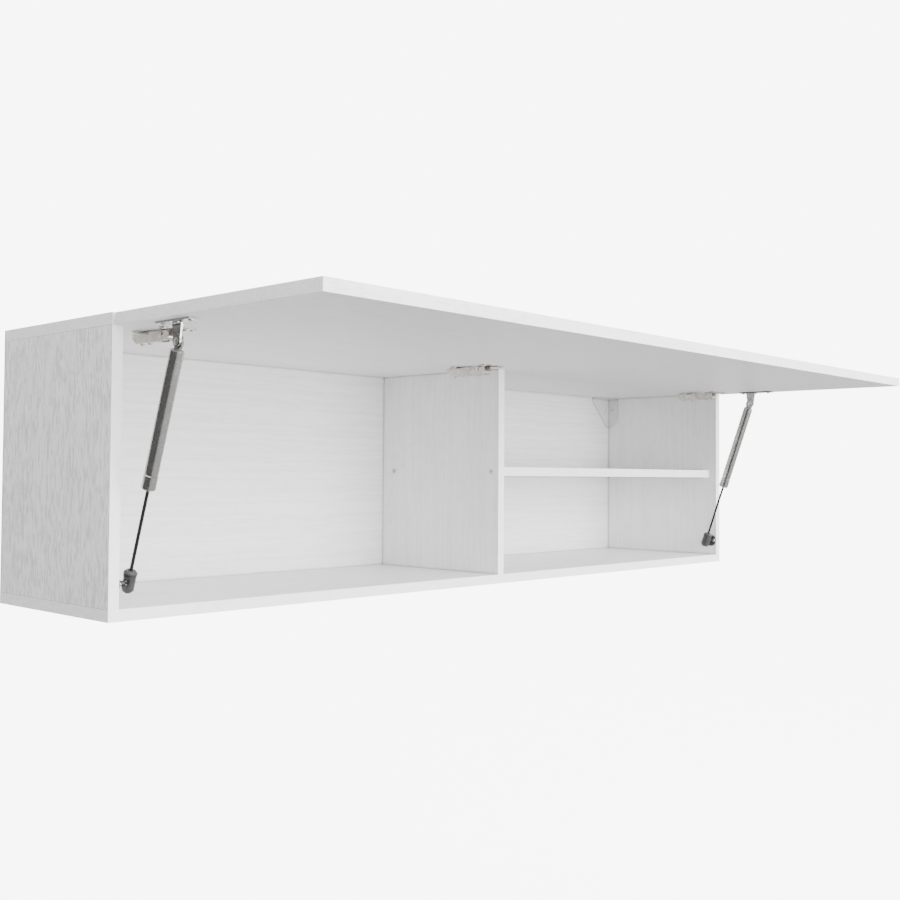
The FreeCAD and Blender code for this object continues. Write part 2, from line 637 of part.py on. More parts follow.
def make_hanger(name, sign, way):
    """Bent steel corner bracket: a triangular back plate with a top and a side flange."""
    body = start_body(f"hanging_bracket_{name}")
    inward = 1 if sign == "-" else -1
    leg, flange, tip = size("hanger_leg"), size("hanger_flange"), size("hanger_tip")
    slope, corner = size("hanger_slope"), size("hanger_corner")
    plate = outline(start_sketch(body, "XZ"), [
        (0, 0, 0), (inward * leg, 0, 0), (inward * leg, -tip, corner),
        (inward * tip, -leg, corner), (0, -leg, 0)])
    extrude(body, "Pad", plate, "hanger_sheet")
    top = outline(start_sketch(body, "XY"), [
        (0, 0, 0), (inward * leg, 0, 0), (inward * leg, -tip, corner),
        (inward * (leg - slope), -flange, 2 * corner), (0, -flange, 0)])
    extrude(body, "Pad", top, "hanger_sheet", reverse=True)
    side = outline(start_sketch(body, "YZ"), [
        (0, 0, 0), (0, -leg, 0), (-tip, -leg, corner), (-flange, slope - leg, 2 * corner), (-flange, 0, 0)])
    extrude(body, "Pad", side, "hanger_sheet", reverse=sign == "+")
    hole_x, hole_z = inward * (size("wall_hole_side") - size("board")), -size("under_top")
    screw = size("wood_screw_radius") + size("pilot_play")
    holes = (
        ("XZ", hole_x, hole_z, size("wall_hole_radius")),
        ("XY", hole_x, -flange / 2, screw),
        ("YZ", -flange / 2, hole_z, screw),
    )
    for plane, u, v, radius in holes:
        hole = circle(start_sketch(body, plane), u, v, radius)
        extrude(body, "Pocket", hole, "3 * hanger_sheet", symmetric=True)
    return place(body, (f"{sign} inner_half_width", "rear_y", "under_top", "+Z"))


# ----------------------------------------------------------------------------------- flap and its hinges

def make_door():
    """The flap's board, bored for the cups and the screws, with a band on each edge."""
    front = "door_edge_y - door_length"
    blank = box("door_blank", ("edge_band - door_half_width", f"{front} + edge_band", "door_face_z"),
                ("2 * (door_half_width - edge_band)", "door_length - 2 * edge_band", "door_board"))
    cups = [(x, "cup_y", "door_face_z", "+Z") for _, x in HINGES]
    bores = drill(cups, "cup_radius + cup_fit", "cup_depth + cup_fit")
    bores += pilot_bores(CUP_SCREWS + BRACKET_SCREWS)
    bands = []
    for y in ("door_edge_y - edge_band", front):
        bands.append(box("band", ("-door_half_width", y, "door_face_z"),
                         ("2 * door_half_width", "edge_band", "door_board")))
    for x in ("-door_half_width", "door_half_width - edge_band"):
        bands.append(box("band", (x, f"{front} + edge_band", "door_face_z"),
                         ("edge_band", "door_length - 2 * edge_band", "door_board")))
    return [cut("door_panel", blank, bores), gather("door_edge_bands", bands)]


def hinge_origin(x):
    """Where a hinge's own frame lies: on the top panel's underside, at the carcass front."""
    return (x, "front_y", "under_top", "+Z")


def make_mounting_plate(name, x):
    """Mounting plate: a bar with two round ears, and the raised block that the arm sits on."""
    body = start_body(f"hinge_plate_{name}")
    line, reach, corner = size("plate_line"), size("plate_reach"), size("plate_corner")
    half_pitch, ear = size("plate_screw_pitch") / 2, size("plate_ear")
    end = half_pitch + ear
    bar = outline(start_sketch(body, "XY"), [
        (-end, line - ear, ear), (end, line - ear, ear), (end, line + ear, ear), (-end, line + ear, ear)])
    extrude(body, "Pad", bar, "plate_sheet", reverse=True)
    half = size("arm_half_width") - size("hinge_sheet") - 2 * size("side_play")
    block = outline(start_sketch(body, "XY"), [
        (-half, line - reach, corner), (half, line - reach, corner),
        (half, line + reach, corner), (-half, line + reach, corner)])
    extrude(body, "Pad", block, "arm_drop - hinge_sheet", reverse=True)
    holes = start_sketch(body, "XY")
    for side in (-1, 1):
        circle(holes, side * half_pitch, line, size("wood_screw_radius") + size("pilot_play"))
    extrude(body, "Pocket", holes, "3 * plate_sheet", symmetric=True)
    threads = start_sketch(body, "XY", "hinge_sheet - arm_drop")
    for side in (-1, 1):
        circle(threads, 0, line + side * size("adjuster_spread"), size("adjuster_radius") + size("pilot_play"))
    extrude(body, "Pocket", threads, "adjuster_length", reverse=True)
    return place(body, hinge_origin(x))


def make_adjusters():
    """Adjusting and fixing screws through the hinge arms."""
    radius, long = size("adjuster_radius"), size("adjuster_length")
    head, tall = size("adjuster_head_radius"), size("adjuster_head_height")
    pattern = turned("adjuster_pattern", [
        (0, -tall, 0), (head, -tall, 0), (head, 0, 0), (radius, 0, 0), (radius, long, 0), (0, long, 0)])
    return copies("hinge_adjusting_screws", pattern, ADJUSTERS)


def arm_plan(body, offset, narrower, nose, rear, corner):
    """The hinge arm seen from below: wide at the rear, tapering to its nose."""
    narrow, wide = size("nose_half_width") - narrower, size("arm_half_width") - narrower
    start, end, bend = size("taper_start"), size("taper_end"), size("taper_bend") - narrower
    half = [(narrow, nose, 0), (narrow, start, bend), (wide, end, bend), (wide, rear, corner)]
    mirrored = [(-u, v, radius) for u, v, radius in reversed(half)]
    return outline(start_sketch(body, "XY", offset), half + mirrored)


def make_arm(name, x):
    """Pressed channel that tapers to a nose, with the links' pin holes in its cheeks."""
    body = start_body(f"hinge_arm_{name}")
    sheet, rear, nose, drop = size("hinge_sheet"), size("arm_rear"), -size("arm_nose"), size("arm_drop")
    extrude(body, "Pad", arm_plan(body, "-arm_drop", 0, nose, rear, size("arm_corner")),
            "arm_drop - plate_sheet - side_play")
    extrude(body, "Pocket", arm_plan(body, "hinge_sheet - arm_drop", sheet, nose - PAST, rear + PAST, 0),
            "arm_drop", reverse=True)
    inside, start = size("nose_half_width") - sheet, size("taper_start")
    window = outline(start_sketch(body, "XY", "-arm_drop"), [
        (-inside, nose - PAST, 0), (inside, nose - PAST, 0), (inside, start, inside), (-inside, start, inside)])
    extrude(body, "Pocket", window, "2 * hinge_sheet", reverse=True)
    cut_arm_cheeks(body, nose, rear, drop)
    slots = start_sketch(body, "XY", "-arm_drop")
    fit, line = size("adjuster_radius") + size("pilot_play"), size("plate_line")
    circle(slots, 0, line - size("adjuster_spread"), fit)
    low = line + size("adjuster_spread") - size("slot_travel") - fit
    high = line + size("adjuster_spread") + size("slot_travel") + fit
    outline(slots, [(-fit, low, fit), (fit, low, fit), (fit, high, fit), (-fit, high, fit)])
    extrude(body, "Pocket", slots, "2 * hinge_sheet", reverse=True)
    return place(body, hinge_origin(x))


def cut_arm_cheeks(body, nose, rear, drop):
    """Give the arm's cheeks their nose, their sloping heel and their pin holes."""
    outer_y, outer_z = -size("outer_pin_forward"), -size("outer_pin_drop")
    inner_y, inner_z = -size("inner_pin_forward"), -size("inner_pin_drop")
    margin, start = size("pin_margin"), size("taper_start")
    ahead, below = nose - PAST, -drop - PAST
    waste = outline(start_sketch(body, "YZ"), [
        (ahead, PAST, 0), (start, PAST, 0), (start - margin / 2, outer_z + margin, margin / 2),
        (nose, outer_z + margin, margin - 0.1), (nose, outer_z - margin, margin - 0.1),
        (inner_y - margin, -drop, margin), (inner_y - margin, below, 0), (ahead, below, 0)])
    extrude(body, "Pocket", waste, "3 * arm_half_width", symmetric=True)
    heel = outline(start_sketch(body, "YZ"), [
        (rear - size("heel_run"), below, 0), (rear + PAST, below, 0),
        (rear + PAST, size("heel_rise") - drop, 0)])
    extrude(body, "Pocket", heel, "3 * arm_half_width", symmetric=True)
    fit = size("hinge_pin_radius") + size("running_play")
    pins = circle(start_sketch(body, "YZ"), outer_y, outer_z, fit)
    circle(pins, inner_y, inner_z, fit)
    extrude(body, "Pocket", pins, "3 * arm_half_width", symmetric=True)


def make_arm_pins():
    """The outer links' stub rivets and the inner links' pins, all held in the arms."""
    radius, rim = size("hinge_pin_radius"), size("hinge_pin_rim")
    inside = size("nose_half_width") - size("hinge_sheet")
    outside = size("outer_half_width") + size("side_play")
    stub = turned("stub_pattern", [
        (0, inside, 0), (radius, inside, 0), (radius, outside, 0), (radius + rim, outside, 0),
        (radius + rim, outside + rim, 0), (0, outside + rim, 0)])
    reach = size("nose_half_width")
    pin = turned("pin_pattern", [(0, -reach, 0), (radius, -reach, 0), (radius, reach, 0), (0, reach, 0)])
    stubs = [(x, "front_y - outer_pin_forward", "under_top - outer_pin_drop", way)
             for _, x in HINGES for way in ("-X", "+X")]
    pins = [(x, "front_y - inner_pin_forward", "under_top - inner_pin_drop", "+X") for _, x in HINGES]
    return gather("hinge_arm_pins", [copies("stubs", stub, stubs), copies("pins", pin, pins)])


def rising(length, rise):
    """End of a link that goes forward and up from its pin, in its own frame."""
    angle = math.radians(size(rise))
    return -size(length) * math.cos(angle), size(length) * math.sin(angle)


def bore_eye(body):
    """Bore a link for its pin in the arm."""
    eye = circle(start_sketch(body, "YZ"), 0, 0, size("hinge_pin_radius") + size("running_play"))
    extrude(body, "Pocket", eye, "4 * arm_half_width", symmetric=True)


def make_outer_link(name, x):
    """Boot-shaped link: two cheeks joined by a bent sole, with stub pins for the cup."""
    body = start_body(f"outer_link_{name}")
    tip_y, tip_z = rising("outer_link_length", "outer_link_rise")
    sheet, belly, eye = size("hinge_sheet"), size("outer_link_belly"), size("outer_link_eye")
    tip, bend = size("outer_link_tip"), size("outer_link_round")
    toe = -size("outer_link_length") - size("outer_link_toe")
    instep, instep_z = toe + 1.5 * sheet, -1.25 * sheet
    boot = outline(start_sketch(body, "YZ"), [
        (eye, -eye, bend), (-eye, -belly, bend), (toe, -belly, bend + sheet), (instep, instep_z, bend + sheet),
        (tip_y - tip, tip_z + tip, tip), (tip_y + tip, tip_z + tip, tip), (tip_y + 2 * tip, eye, tip),
        (eye, eye, bend)])
    extrude(body, "Pad", boot, "2 * outer_half_width", symmetric=True)
    sole, clear = toe + size("outer_link_sole"), size("outer_link_length")
    between = outline(start_sketch(body, "YZ"), [
        (clear, -belly - PAST, 0), (sole, -belly - PAST, 0), (sole, sheet - belly, 0),
        (toe + sheet, sheet - belly, bend), (instep + sheet, instep_z, bend),
        (tip_y - tip + sheet, tip_z + clear, 0), (clear, tip_z + clear, 0)])
    extrude(body, "Pocket", between, "2 * outer_cheek", symmetric=True)
    bore_eye(body)
    for sign in ("", "-"):
        stub = circle(start_sketch(body, "YZ", f"{sign} outer_cheek"), tip_y, tip_z, size("hinge_pin_radius"))
        extrude(body, "Pad", stub, "hinge_sheet + stub_reach", reverse=bool(sign))
    return place(body, (x, "front_y - outer_pin_forward", "under_top - outer_pin_drop", "+Z"))


def make_inner_link(name, x):
    """Narrow link between the arm's cheeks, rounded about both its pins."""
    body = start_body(f"inner_link_{name}")
    tip_y, tip_z = rising("inner_link_length", "inner_link_rise")
    eye, tip, corner = size("inner_link_eye"), size("inner_link_tip"), size("inner_link_round")
    along = Vector(tip_y, tip_z, 0).normalize()
    across = Vector(-along.y, along.x, 0)
    far = size("inner_link_length") + tip
    ends = (along * -eye - across * eye, along * -eye + across * eye,
            along * far + across * tip, along * far - across * tip)
    profile = outline(start_sketch(body, "YZ"), [(end.x, end.y, corner) for end in ends])
    extrude(body, "Pad", profile, "2 * inner_link_half_width", symmetric=True)
    bore_eye(body)
    return place(body, (x, "front_y - inner_pin_forward", "under_top - inner_pin_drop", "+Z"))


def make_cup(name, x):
    """Pressed cup with a rim, two screw ears and the lugs beside the links' pins."""
    body = start_body(f"hinge_cup_{name}")
    outer, inner, lip = size("cup_radius"), size("cup_inner_radius"), size("cup_radius") + size("flange_lip")
    deep, sheet, flange = size("cup_depth"), size("cup_sheet"), size("flange_sheet")
    span, line, ear = size("flange_half_span"), -size("cup_screw_set"), size("ear_half_width")
    ears = outline(start_sketch(body, "XY"), [
        (-span, line - ear, ear), (span, line - ear, ear), (span, line + ear, ear), (-span, line + ear, ear)])
    extrude(body, "Pad", ears, "flange_sheet", reverse=True)
    mouth = circle(start_sketch(body, "XY"), 0, 0, inner)
    extrude(body, "Pocket", mouth, "4 * flange_sheet", symmetric=True)
    shell = outline(start_sketch(body, "XZ"), [
        (inner, -flange, 0), (lip, -flange, 0), (lip, 0, 0), (outer, 0, 0), (outer, deep, size("cup_round")),
        (0, deep, 0), (0, deep - sheet, 0), (inner, deep - sheet, size("cup_round") - sheet)])
    revolve(body, "Revolution", shell)
    half = size("inner_link_half_width") + 2 * size("side_play")
    notch = outline(start_sketch(body, "XY", "-flange_sheet"), [
        (-half, 0, 0), (half, 0, 0), (half, lip + PAST, 0), (-half, lip + PAST, 0)])
    extrude(body, "Pocket", notch, "flange_sheet + cup_notch_depth", reverse=True)
    near = size("outer_half_width") + size("stub_reach") + size("side_play")
    lugs = start_sketch(body, "XY")
    for side in (-1, 1):
        ends = [(side * (math.sqrt(inner ** 2 - y ** 2) - size("side_play")), y, 0)
                for y in (-size("lug_rear"), size("lug_front"))]
        outline(lugs, ends + [(side * near, size("lug_front"), 0), (side * near, -size("lug_rear"), 0)])
    extrude(body, "Pad", lugs, "cup_depth - cup_sheet / 2")
    screws = start_sketch(body, "XY")
    for side in (-1, 1):
        circle(screws, side * size("cup_screw_pitch") / 2, line, size("wood_screw_radius") + size("pilot_play"))
    extrude(body, "Pocket", screws, "4 * flange_sheet", symmetric=True)
    return place(body, (x, "cup_y", "door_face_z", "+Z"))


# ------------------------------------------------------------------------------------------- gas struts

def along_strut(body, sign):
    """Hang a body from the strut's rivet, tilted to its lower ball."""
    body.Placement = Placement(Vector(), Rotation(Vector(1, 0, 0), 10))
    body.setExpression("Placement.Rotation.Angle", formula("strut_tilt"))
    for axis, text in (("x", f"{sign} strut_x"), ("y", "rivet_y"), ("z", "rivet_z")):
        body.setExpression(f"Placement.Base.{axis}", formula(text))
    return body


def make_tube(name, sign):
    """Strut's tube, closed at its upper end by a flattened tongue with the rivet's eye."""
    body = start_body(f"strut_tube_{name}")
    outer, wall, crown = size("tube_radius"), size("tube_wall"), size("tube_crown")
    top, end, shoulder = -size("tube_start"), -size("tube_end"), size("tube_shoulder")
    revolve(body, "Revolution", outline(start_sketch(body, "XZ"), [
        (0, top, 0), (outer, top, shoulder), (outer, end, 0), (outer - wall, end, 0),
        (outer - wall, top - crown, 0), (0, top - crown, 0)]))
    eye, neck, bend = size("tongue_radius"), size("tongue_neck"), size("tongue_bend")
    tongue = outline(start_sketch(body, "YZ"), [
        (-eye, eye, eye), (eye, eye, eye), (eye, -bend, bend), (neck, top - crown / 2, 0),
        (-neck, top - crown / 2, 0), (-eye, -bend, bend)])
    extrude(body, "Pad", tongue, "tongue_sheet", symmetric=True)
    hole = circle(start_sketch(body, "YZ"), 0, 0, size("rivet_radius") + size("running_play"))
    extrude(body, "Pocket", hole, "4 * tongue_sheet", symmetric=True)
    return along_strut(body, sign)


def make_gland(name, sign):
    """Guide and seal at the tube's lower end, with a groove below the tube, bored for the rod."""
    radius, bore = size("gland_radius"), size("rod_radius") + size("rod_play")
    top, end, bevel = -size("tube_end"), -size("gland_end"), size("gland_bevel")
    groove, step = size("gland_groove"), size("gland_step")
    body = turned(f"strut_gland_{name}", [
        (bore, top, 0), (radius - step, top, 0), (radius - step, top - groove, 0),
        (radius, top - groove - step, 0), (radius, end + bevel, 0), (radius - bevel, end, 0), (bore, end, 0)])
    return along_strut(body, sign)


def make_rod(name, sign):
    """Piston rod, from the piston in the tube to its seat in the socket."""
    radius, top, end = size("rod_radius"), -size("piston_top"), -size("rod_end")
    body = turned(f"strut_rod_{name}", [(0, top, 0), (radius, top, 0), (radius, end, 0), (0, end, 0)])
    return along_strut(body, sign)


def make_piston(name, sign):
    """Piston on the upper end of the rod, with its seal groove."""
    radius = size("tube_radius") - size("tube_wall") - size("piston_play")
    bore, floor = size("rod_radius") + size("running_play"), radius - size("piston_groove_depth")
    top, half_groove = -size("piston_top"), size("piston_groove") / 2
    middle, end = top - size("piston_length") / 2, top - size("piston_length")
    body = turned(f"strut_piston_{name}", [
        (bore, top, 0), (radius, top, 0), (radius, middle + half_groove, 0), (floor, middle + half_groove, 0),
        (floor, middle - half_groove, 0), (radius, middle - half_groove, 0), (radius, end, 0), (bore, end, 0)])
    return along_strut(body, sign)


def ball_section(sketch, radius, sign):
    """Draw the half disc, on the cabinet's side of the strut, that turns into the strut's ball."""
    middle = -size("strut_length")
    disc = Part.Circle(Vector(0, middle, 0), Vector(0, 0, 1), radius)
    start = -math.pi / 2 if sign == "-" else math.pi / 2
    sketch.addGeometry([
        Part.ArcOfCircle(disc, start, start + math.pi),
        Part.LineSegment(Vector(0, middle + radius, 0), Vector(0, middle - radius, 0))], False)
    return sketch


def make_socket(name, sign):
    """Moulded ball socket: a grooved block with a bevelled foot, open towards the side panel."""
    body = start_body(f"strut_socket_{name}")
    radius, ball, bevel = size("socket_radius"), -size("strut_length"), size("socket_bevel")
    top, end = -size("socket_top"), ball - size("socket_below")
    head, body_radius = top - size("socket_head"), radius - size("socket_waist")
    groove, floor = size("socket_groove"), radius - size("socket_groove_depth") - size("socket_waist")
    revolve(body, "Revolution", outline(start_sketch(body, "XZ"), [
        (0, top, 0), (radius - bevel, top, 0), (radius, top - bevel, 0), (radius, head, 0), (floor, head, 0),
        (floor, head - groove, 0), (body_radius, head - groove, 0), (body_radius, end + size("socket_foot"), 0),
        (body_radius - size("socket_foot_bevel"), end, 0), (0, end, 0)]))
    outward = -1 if sign == "-" else 1
    face, beyond, mouth = outward * size("ball_cover"), outward * (radius + PAST), ball + size("socket_mouth")
    open_side = outline(start_sketch(body, "XZ"), [
        (face, end - PAST, 0), (face, mouth - bevel, 0), (beyond, mouth, 0), (beyond, end - PAST, 0)])
    extrude(body, "Pocket", open_side, "4 * socket_radius", symmetric=True)
    revolve(body, "Groove", ball_section(start_sketch(body, "XZ"), size("ball_radius") + size("ball_play"), sign))
    bore = circle(start_sketch(body, "XY", "-rod_end"), 0, 0, size("rod_radius") + size("running_play"))
    extrude(body, "Pocket", bore, "socket_above", reverse=True)
    return along_strut(body, sign)


def make_ball(name, sign):
    """Ball in the strut's lower socket."""
    body = start_body(f"strut_ball_{name}")
    revolve(body, "Revolution", ball_section(start_sketch(body, "XZ"), size("ball_radius"), sign))
    return along_strut(body, sign)


def make_stud_plate(name, sign, way):
    """Round screw-on plate with the neck of the ball stud."""
    body = start_body(f"stud_plate_{name}")
    radius, sheet, neck = size("stud_plate_radius"), size("stud_plate_sheet"), size("stud_radius")
    end, tip = -size("stud_neck"), size("stud_tip")
    revolve(body, "Revolution", outline(start_sketch(body, "XZ"), [
        (0, 0, 0), (radius, 0, 0), (radius, -sheet / 2, 0), (radius - sheet / 2, -sheet, 0),
        (neck + size("stud_flare"), -sheet, 0), (neck, -sheet - size("stud_flare_height"), 0),
        (neck, end + tip, 0), (neck - tip, end, 0), (0, end, 0)]))
    holes = start_sketch(body, "XY")
    for side in (-1, 1):
        circle(holes, 0, side * size("stud_screw_reach"), size("wood_screw_radius") + size("pilot_play"))
    extrude(body, "Pocket", holes, "4 * stud_plate_sheet", symmetric=True)
    return place(body, (f"{sign} inner_half_width", "stud_y", "stud_z", way))


def make_bracket(name, sign):
    """Bent steel bracket under the flap: a screwed plate, folded to a tapering leg for the rivet."""
    body = start_body(f"strut_bracket_{name}")
    outward = -1 if sign == "-" else 1
    near, far, reach = size("leg_in"), size("leg_out"), size("rivet_drop")
    sheet, bend, wide = size("bracket_sheet"), size("bracket_bend"), size("leg_in") + size("bracket_width")
    radius, under = size("leg_radius"), size("rivet_drop") - size("bracket_sheet")
    fold = outline(start_sketch(body, "XZ", "-bracket_rear"), [
        (outward * near, -radius, 0), (outward * near, reach, bend + sheet), (outward * wide, reach, 0),
        (outward * wide, under, 0), (outward * far, under, bend), (outward * far, -radius, 0)])
    extrude(body, "Pad", fold, "bracket_rear + bracket_front")
    for side, edge in ((-1, size("bracket_front")), (1, size("bracket_rear"))):
        beside = outline(start_sketch(body, "YZ"), [
            (side * size("leg_top"), under, 0), (side * (edge + PAST), under, 0),
            (side * (edge + PAST), -radius - PAST, 0), (0, -radius - PAST, 0), (0, -radius, 0),
            (side * radius, -radius, radius), (side * radius, radius / 2, size("leg_bend"))])
        extrude(body, "Pocket", beside, "4 * bracket_width", symmetric=True)
    hole = circle(start_sketch(body, "YZ"), 0, 0, size("rivet_radius") + size("running_play"))
    extrude(body, "Pocket", hole, "4 * bracket_width", symmetric=True)
    screws = start_sketch(body, "XY", "rivet_drop")
    front, rear, inset = -size("bracket_front"), size("bracket_rear"), size("bracket_screw_inset")
    for along in (rear - inset, (rear + front) / 2, front + inset):
        circle(screws, outward * size("bracket_line"), along, size("wood_screw_radius") + size("pilot_play"))
    extrude(body, "Pocket", screws, "4 * bracket_sheet", symmetric=True)
    return place(body, (f"{sign} strut_x", "rivet_y", "rivet_z", "+Z"))


def make_rivets():
    """Upper rivets, through the tube's tongue and the bracket's leg."""
    radius, head, tall = size("rivet_radius"), size("rivet_head_radius"), size("rivet_head")
    near = size("tongue_sheet") / 2 + size("side_play") / 2
    far = size("leg_out") + size("side_play") / 2
    pattern = turned("rivet_pattern", [
        (0, -near - tall, 0), (head - tall / 2, -near - tall, 0), (head, -near, 0), (radius, -near, 0),
        (radius, far, 0), (head, far, 0), (head - tall / 2, far + tall, 0), (0, far + tall, 0)])
    spots = [(f"{sign} strut_x", "rivet_y", "rivet_z", way) for _, sign, way in SIDES]
    return copies("strut_rivets", pattern, spots)


def make_hardware_screws():
    """Pan-head screws of the hinges, brackets, studs and hangers."""
    shank, long = size("wood_screw_radius"), size("wood_screw_length")
    head, tall = size("wood_screw_head_radius"), size("wood_screw_head_height")
    pattern = turned("wood_screw_pattern", [
        (0, -tall, 0), (head - tall / 2, -tall, 0), (head, 0, 0), (shank, 0, 0),
        (shank, long - 2 * shank, 0), (0, long, 0)])
    studs = [spot for _, sign, way in SIDES for spot in stud_screws(sign, way)]
    hangers = [spot for _, sign, way in SIDES for spot in hanger_side_screws(sign, way)]
    return [
        copies("hinge_plate_screws", pattern, PLATE_SCREWS),
        copies("hinge_cup_screws", pattern, CUP_SCREWS),
        copies("strut_bracket_screws", pattern, BRACKET_SCREWS),
        copies("stud_plate_screws", pattern, studs),
        copies("hanging_bracket_screws", pattern, hangers + HANGER_TOP_SCREWS),
    ]


def build():
    """Every piece of the cabinet."""
    pieces = make_carcass() + make_board_screws() + [make_nails()]
    pieces += [make_hanger(name, sign, way) for name, sign, way in SIDES]
    pieces += make_door()
    hinge_makers = (make_mounting_plate, make_arm, make_cup, make_outer_link, make_inner_link)
    for name, x in HINGES:
        pieces += [make(name, x) for make in hinge_makers]
    pieces += [make_adjusters(), make_arm_pins()]
    strut_makers = (make_bracket, make_tube, make_gland, make_rod, make_piston, make_socket, make_ball)
    for name, sign, way in SIDES:
        pieces += [make(name, sign) for make in strut_makers]
        pieces.append(make_stud_plate(name, sign, way))
    return pieces + [make_rivets()] + make_hardware_screws()


def check(pieces):
    """Stop when an object has failed, or a piece has no valid solid."""
    for thing in DOC.Objects:
        if "Invalid" in thing.State or "Error" in thing.State:
            raise RuntimeError(f"{thing.Label} failed")
    for piece in pieces:
        if piece.Shape.isNull() or not piece.Shape.isValid() or not piece.Shape.Solids:
            raise RuntimeError(f"{piece.Label} has no valid solid")


PIECES = build()
DOC.recompute()
check(PIECES)
os.makedirs("parts", exist_ok=True)
for piece in PIECES:
    piece.Shape.exportStep(f"parts/{piece.Label}.step")
    print(piece.Label, len(piece.Shape.Solids), round(piece.Shape.Volume))
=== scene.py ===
import json
import logging
import math
from dataclasses import dataclass, replace
from enum import Enum

import bmesh
import bpy
from mathutils import Matrix, Vector


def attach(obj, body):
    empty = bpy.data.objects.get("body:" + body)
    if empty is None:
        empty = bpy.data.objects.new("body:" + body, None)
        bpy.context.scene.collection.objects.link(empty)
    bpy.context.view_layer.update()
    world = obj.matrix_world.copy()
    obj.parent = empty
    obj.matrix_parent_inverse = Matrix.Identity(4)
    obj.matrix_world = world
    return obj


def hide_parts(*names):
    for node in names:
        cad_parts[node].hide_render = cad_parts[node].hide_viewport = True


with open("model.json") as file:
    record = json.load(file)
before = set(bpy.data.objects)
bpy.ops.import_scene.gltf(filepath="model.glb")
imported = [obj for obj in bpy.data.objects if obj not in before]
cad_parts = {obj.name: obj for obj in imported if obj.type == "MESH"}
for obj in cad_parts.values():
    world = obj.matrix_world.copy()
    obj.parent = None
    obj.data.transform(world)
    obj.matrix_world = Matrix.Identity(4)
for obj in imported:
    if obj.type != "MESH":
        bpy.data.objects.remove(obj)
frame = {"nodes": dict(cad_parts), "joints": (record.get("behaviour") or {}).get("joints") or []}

log = logging.getLogger("cabinet")
MM = 0.001
WHITE = (1.0, 1.0, 1.0, 1.0)
SMOOTH_ANGLE = math.radians(38)
WELD_DISTANCE = 1e-6
END_DISTANCE = 1e-5

Colour = tuple[float, float, float]
Ring = list[bmesh.types.BMVert]


# ------------------------------------------------------------------------------------------ node helpers

class Grain(Enum):
    """The way the embossed grain of a board runs, as the number of the axis."""

    ALONG_X = 0
    ALONG_Z = 2

    def stretch(self, share: float) -> tuple[float, float, float]:
        """Scale factors that draw a pattern out along the grain."""
        return tuple(share if axis == self.value else 1.0 for axis in range(3))

    def pattern(self) -> dict[str, tuple[float, float, float]]:
        """How far flecks and lines are drawn out along the grain, as inputs of the foil's effect."""
        return {"Fleck_Stretch": self.stretch(0.16), "Line_Stretch": self.stretch(0.012)}


class Graph:
    """A node tree with short ways to add and join nodes."""

    def __init__(self, tree: bpy.types.NodeTree) -> None:
        """Keep the tree that nodes are added to."""
        self.tree = tree

    def add(self, kind: str, **values: object) -> bpy.types.Node:
        """Add a node and set its properties and its input sockets.

        Args:
            kind: the node's type without the ShaderNode prefix.
            **values: properties by name, or sockets by name with spaces as underscores.

        Returns:
            The new node.
        """
        node = self.tree.nodes.new("ShaderNode" + kind)
        for name, value in values.items():
            if hasattr(node, name) and name not in node.inputs:
                setattr(node, name, value)
            else:
                self.feed(node, name.replace("_", " "), value)
        return node

    def feed(self, node: bpy.types.Node, socket: str | int, value: object) -> None:
        """Link an output to an input socket, or set the socket's own value.

        Args:
            node: the node that takes the value.
            socket: the input's name or number.
            value: an output socket, or a plain value.
        """
        target = node.inputs[socket]
        if isinstance(value, bpy.types.NodeSocket):
            self.tree.links.new(value, target)
        else:
            target.default_value = value

    def math(
        self, operation: str, first: object, second: object = 0.0, clamp: bool = False
    ) -> bpy.types.NodeSocket:
        """Combine two values.

        Args:
            operation: the Math node's operation.
            first: the first value or socket.
            second: the second value or socket.
            clamp: keep the result between 0 and 1.

        Returns:
            The result's socket.
        """
        node = self.tree.nodes.new("ShaderNodeMath")
        node.operation, node.use_clamp = operation, clamp
        self.feed(node, 0, first)
        self.feed(node, 1, second)
        return node.outputs[0]

    def blend(self, share: object, first: object, second: object) -> bpy.types.NodeSocket:
        """Blend two colours.

        Args:
            share: how much of the second colour shows.
            first: the colour at a share of 0.
            second: the colour at a share of 1.

        Returns:
            The result's socket.
        """
        node = self.tree.nodes.new("ShaderNodeMix")
        node.data_type = "RGBA"
        self.feed(node, 0, share)
        self.feed(node, 6, first)
        self.feed(node, 7, second)
        return node.outputs[2]

    def ramp(self, value: object, low: float, high: float) -> bpy.types.NodeSocket:
        """Stretch a value smoothly onto 0 to 1.

        Args:
            value: the value or socket.
            low: what becomes 0.
            high: what becomes 1.

        Returns:
            The result's socket.
        """
        node = self.tree.nodes.new("ShaderNodeMapRange")
        node.interpolation_type = "SMOOTHSTEP"
        self.feed(node, 0, value)
        self.feed(node, 1, low)
        self.feed(node, 2, high)
        return node.outputs[0]

    def vector(self, operation: str, first: object, second: object = (0.0, 0.0, 0.0)) -> bpy.types.NodeSocket:
        """Combine two vectors.

        Args:
            operation: the Vector Math node's operation.
            first: the first vector or socket.
            second: the second vector or socket.

        Returns:
            The result's socket, which holds a number for a dot product.
        """
        node = self.add("VectorMath", operation=operation)
        self.feed(node, 0, first)
        self.feed(node, 1, second)
        return node.outputs[1 if operation == "DOT_PRODUCT" else 0]


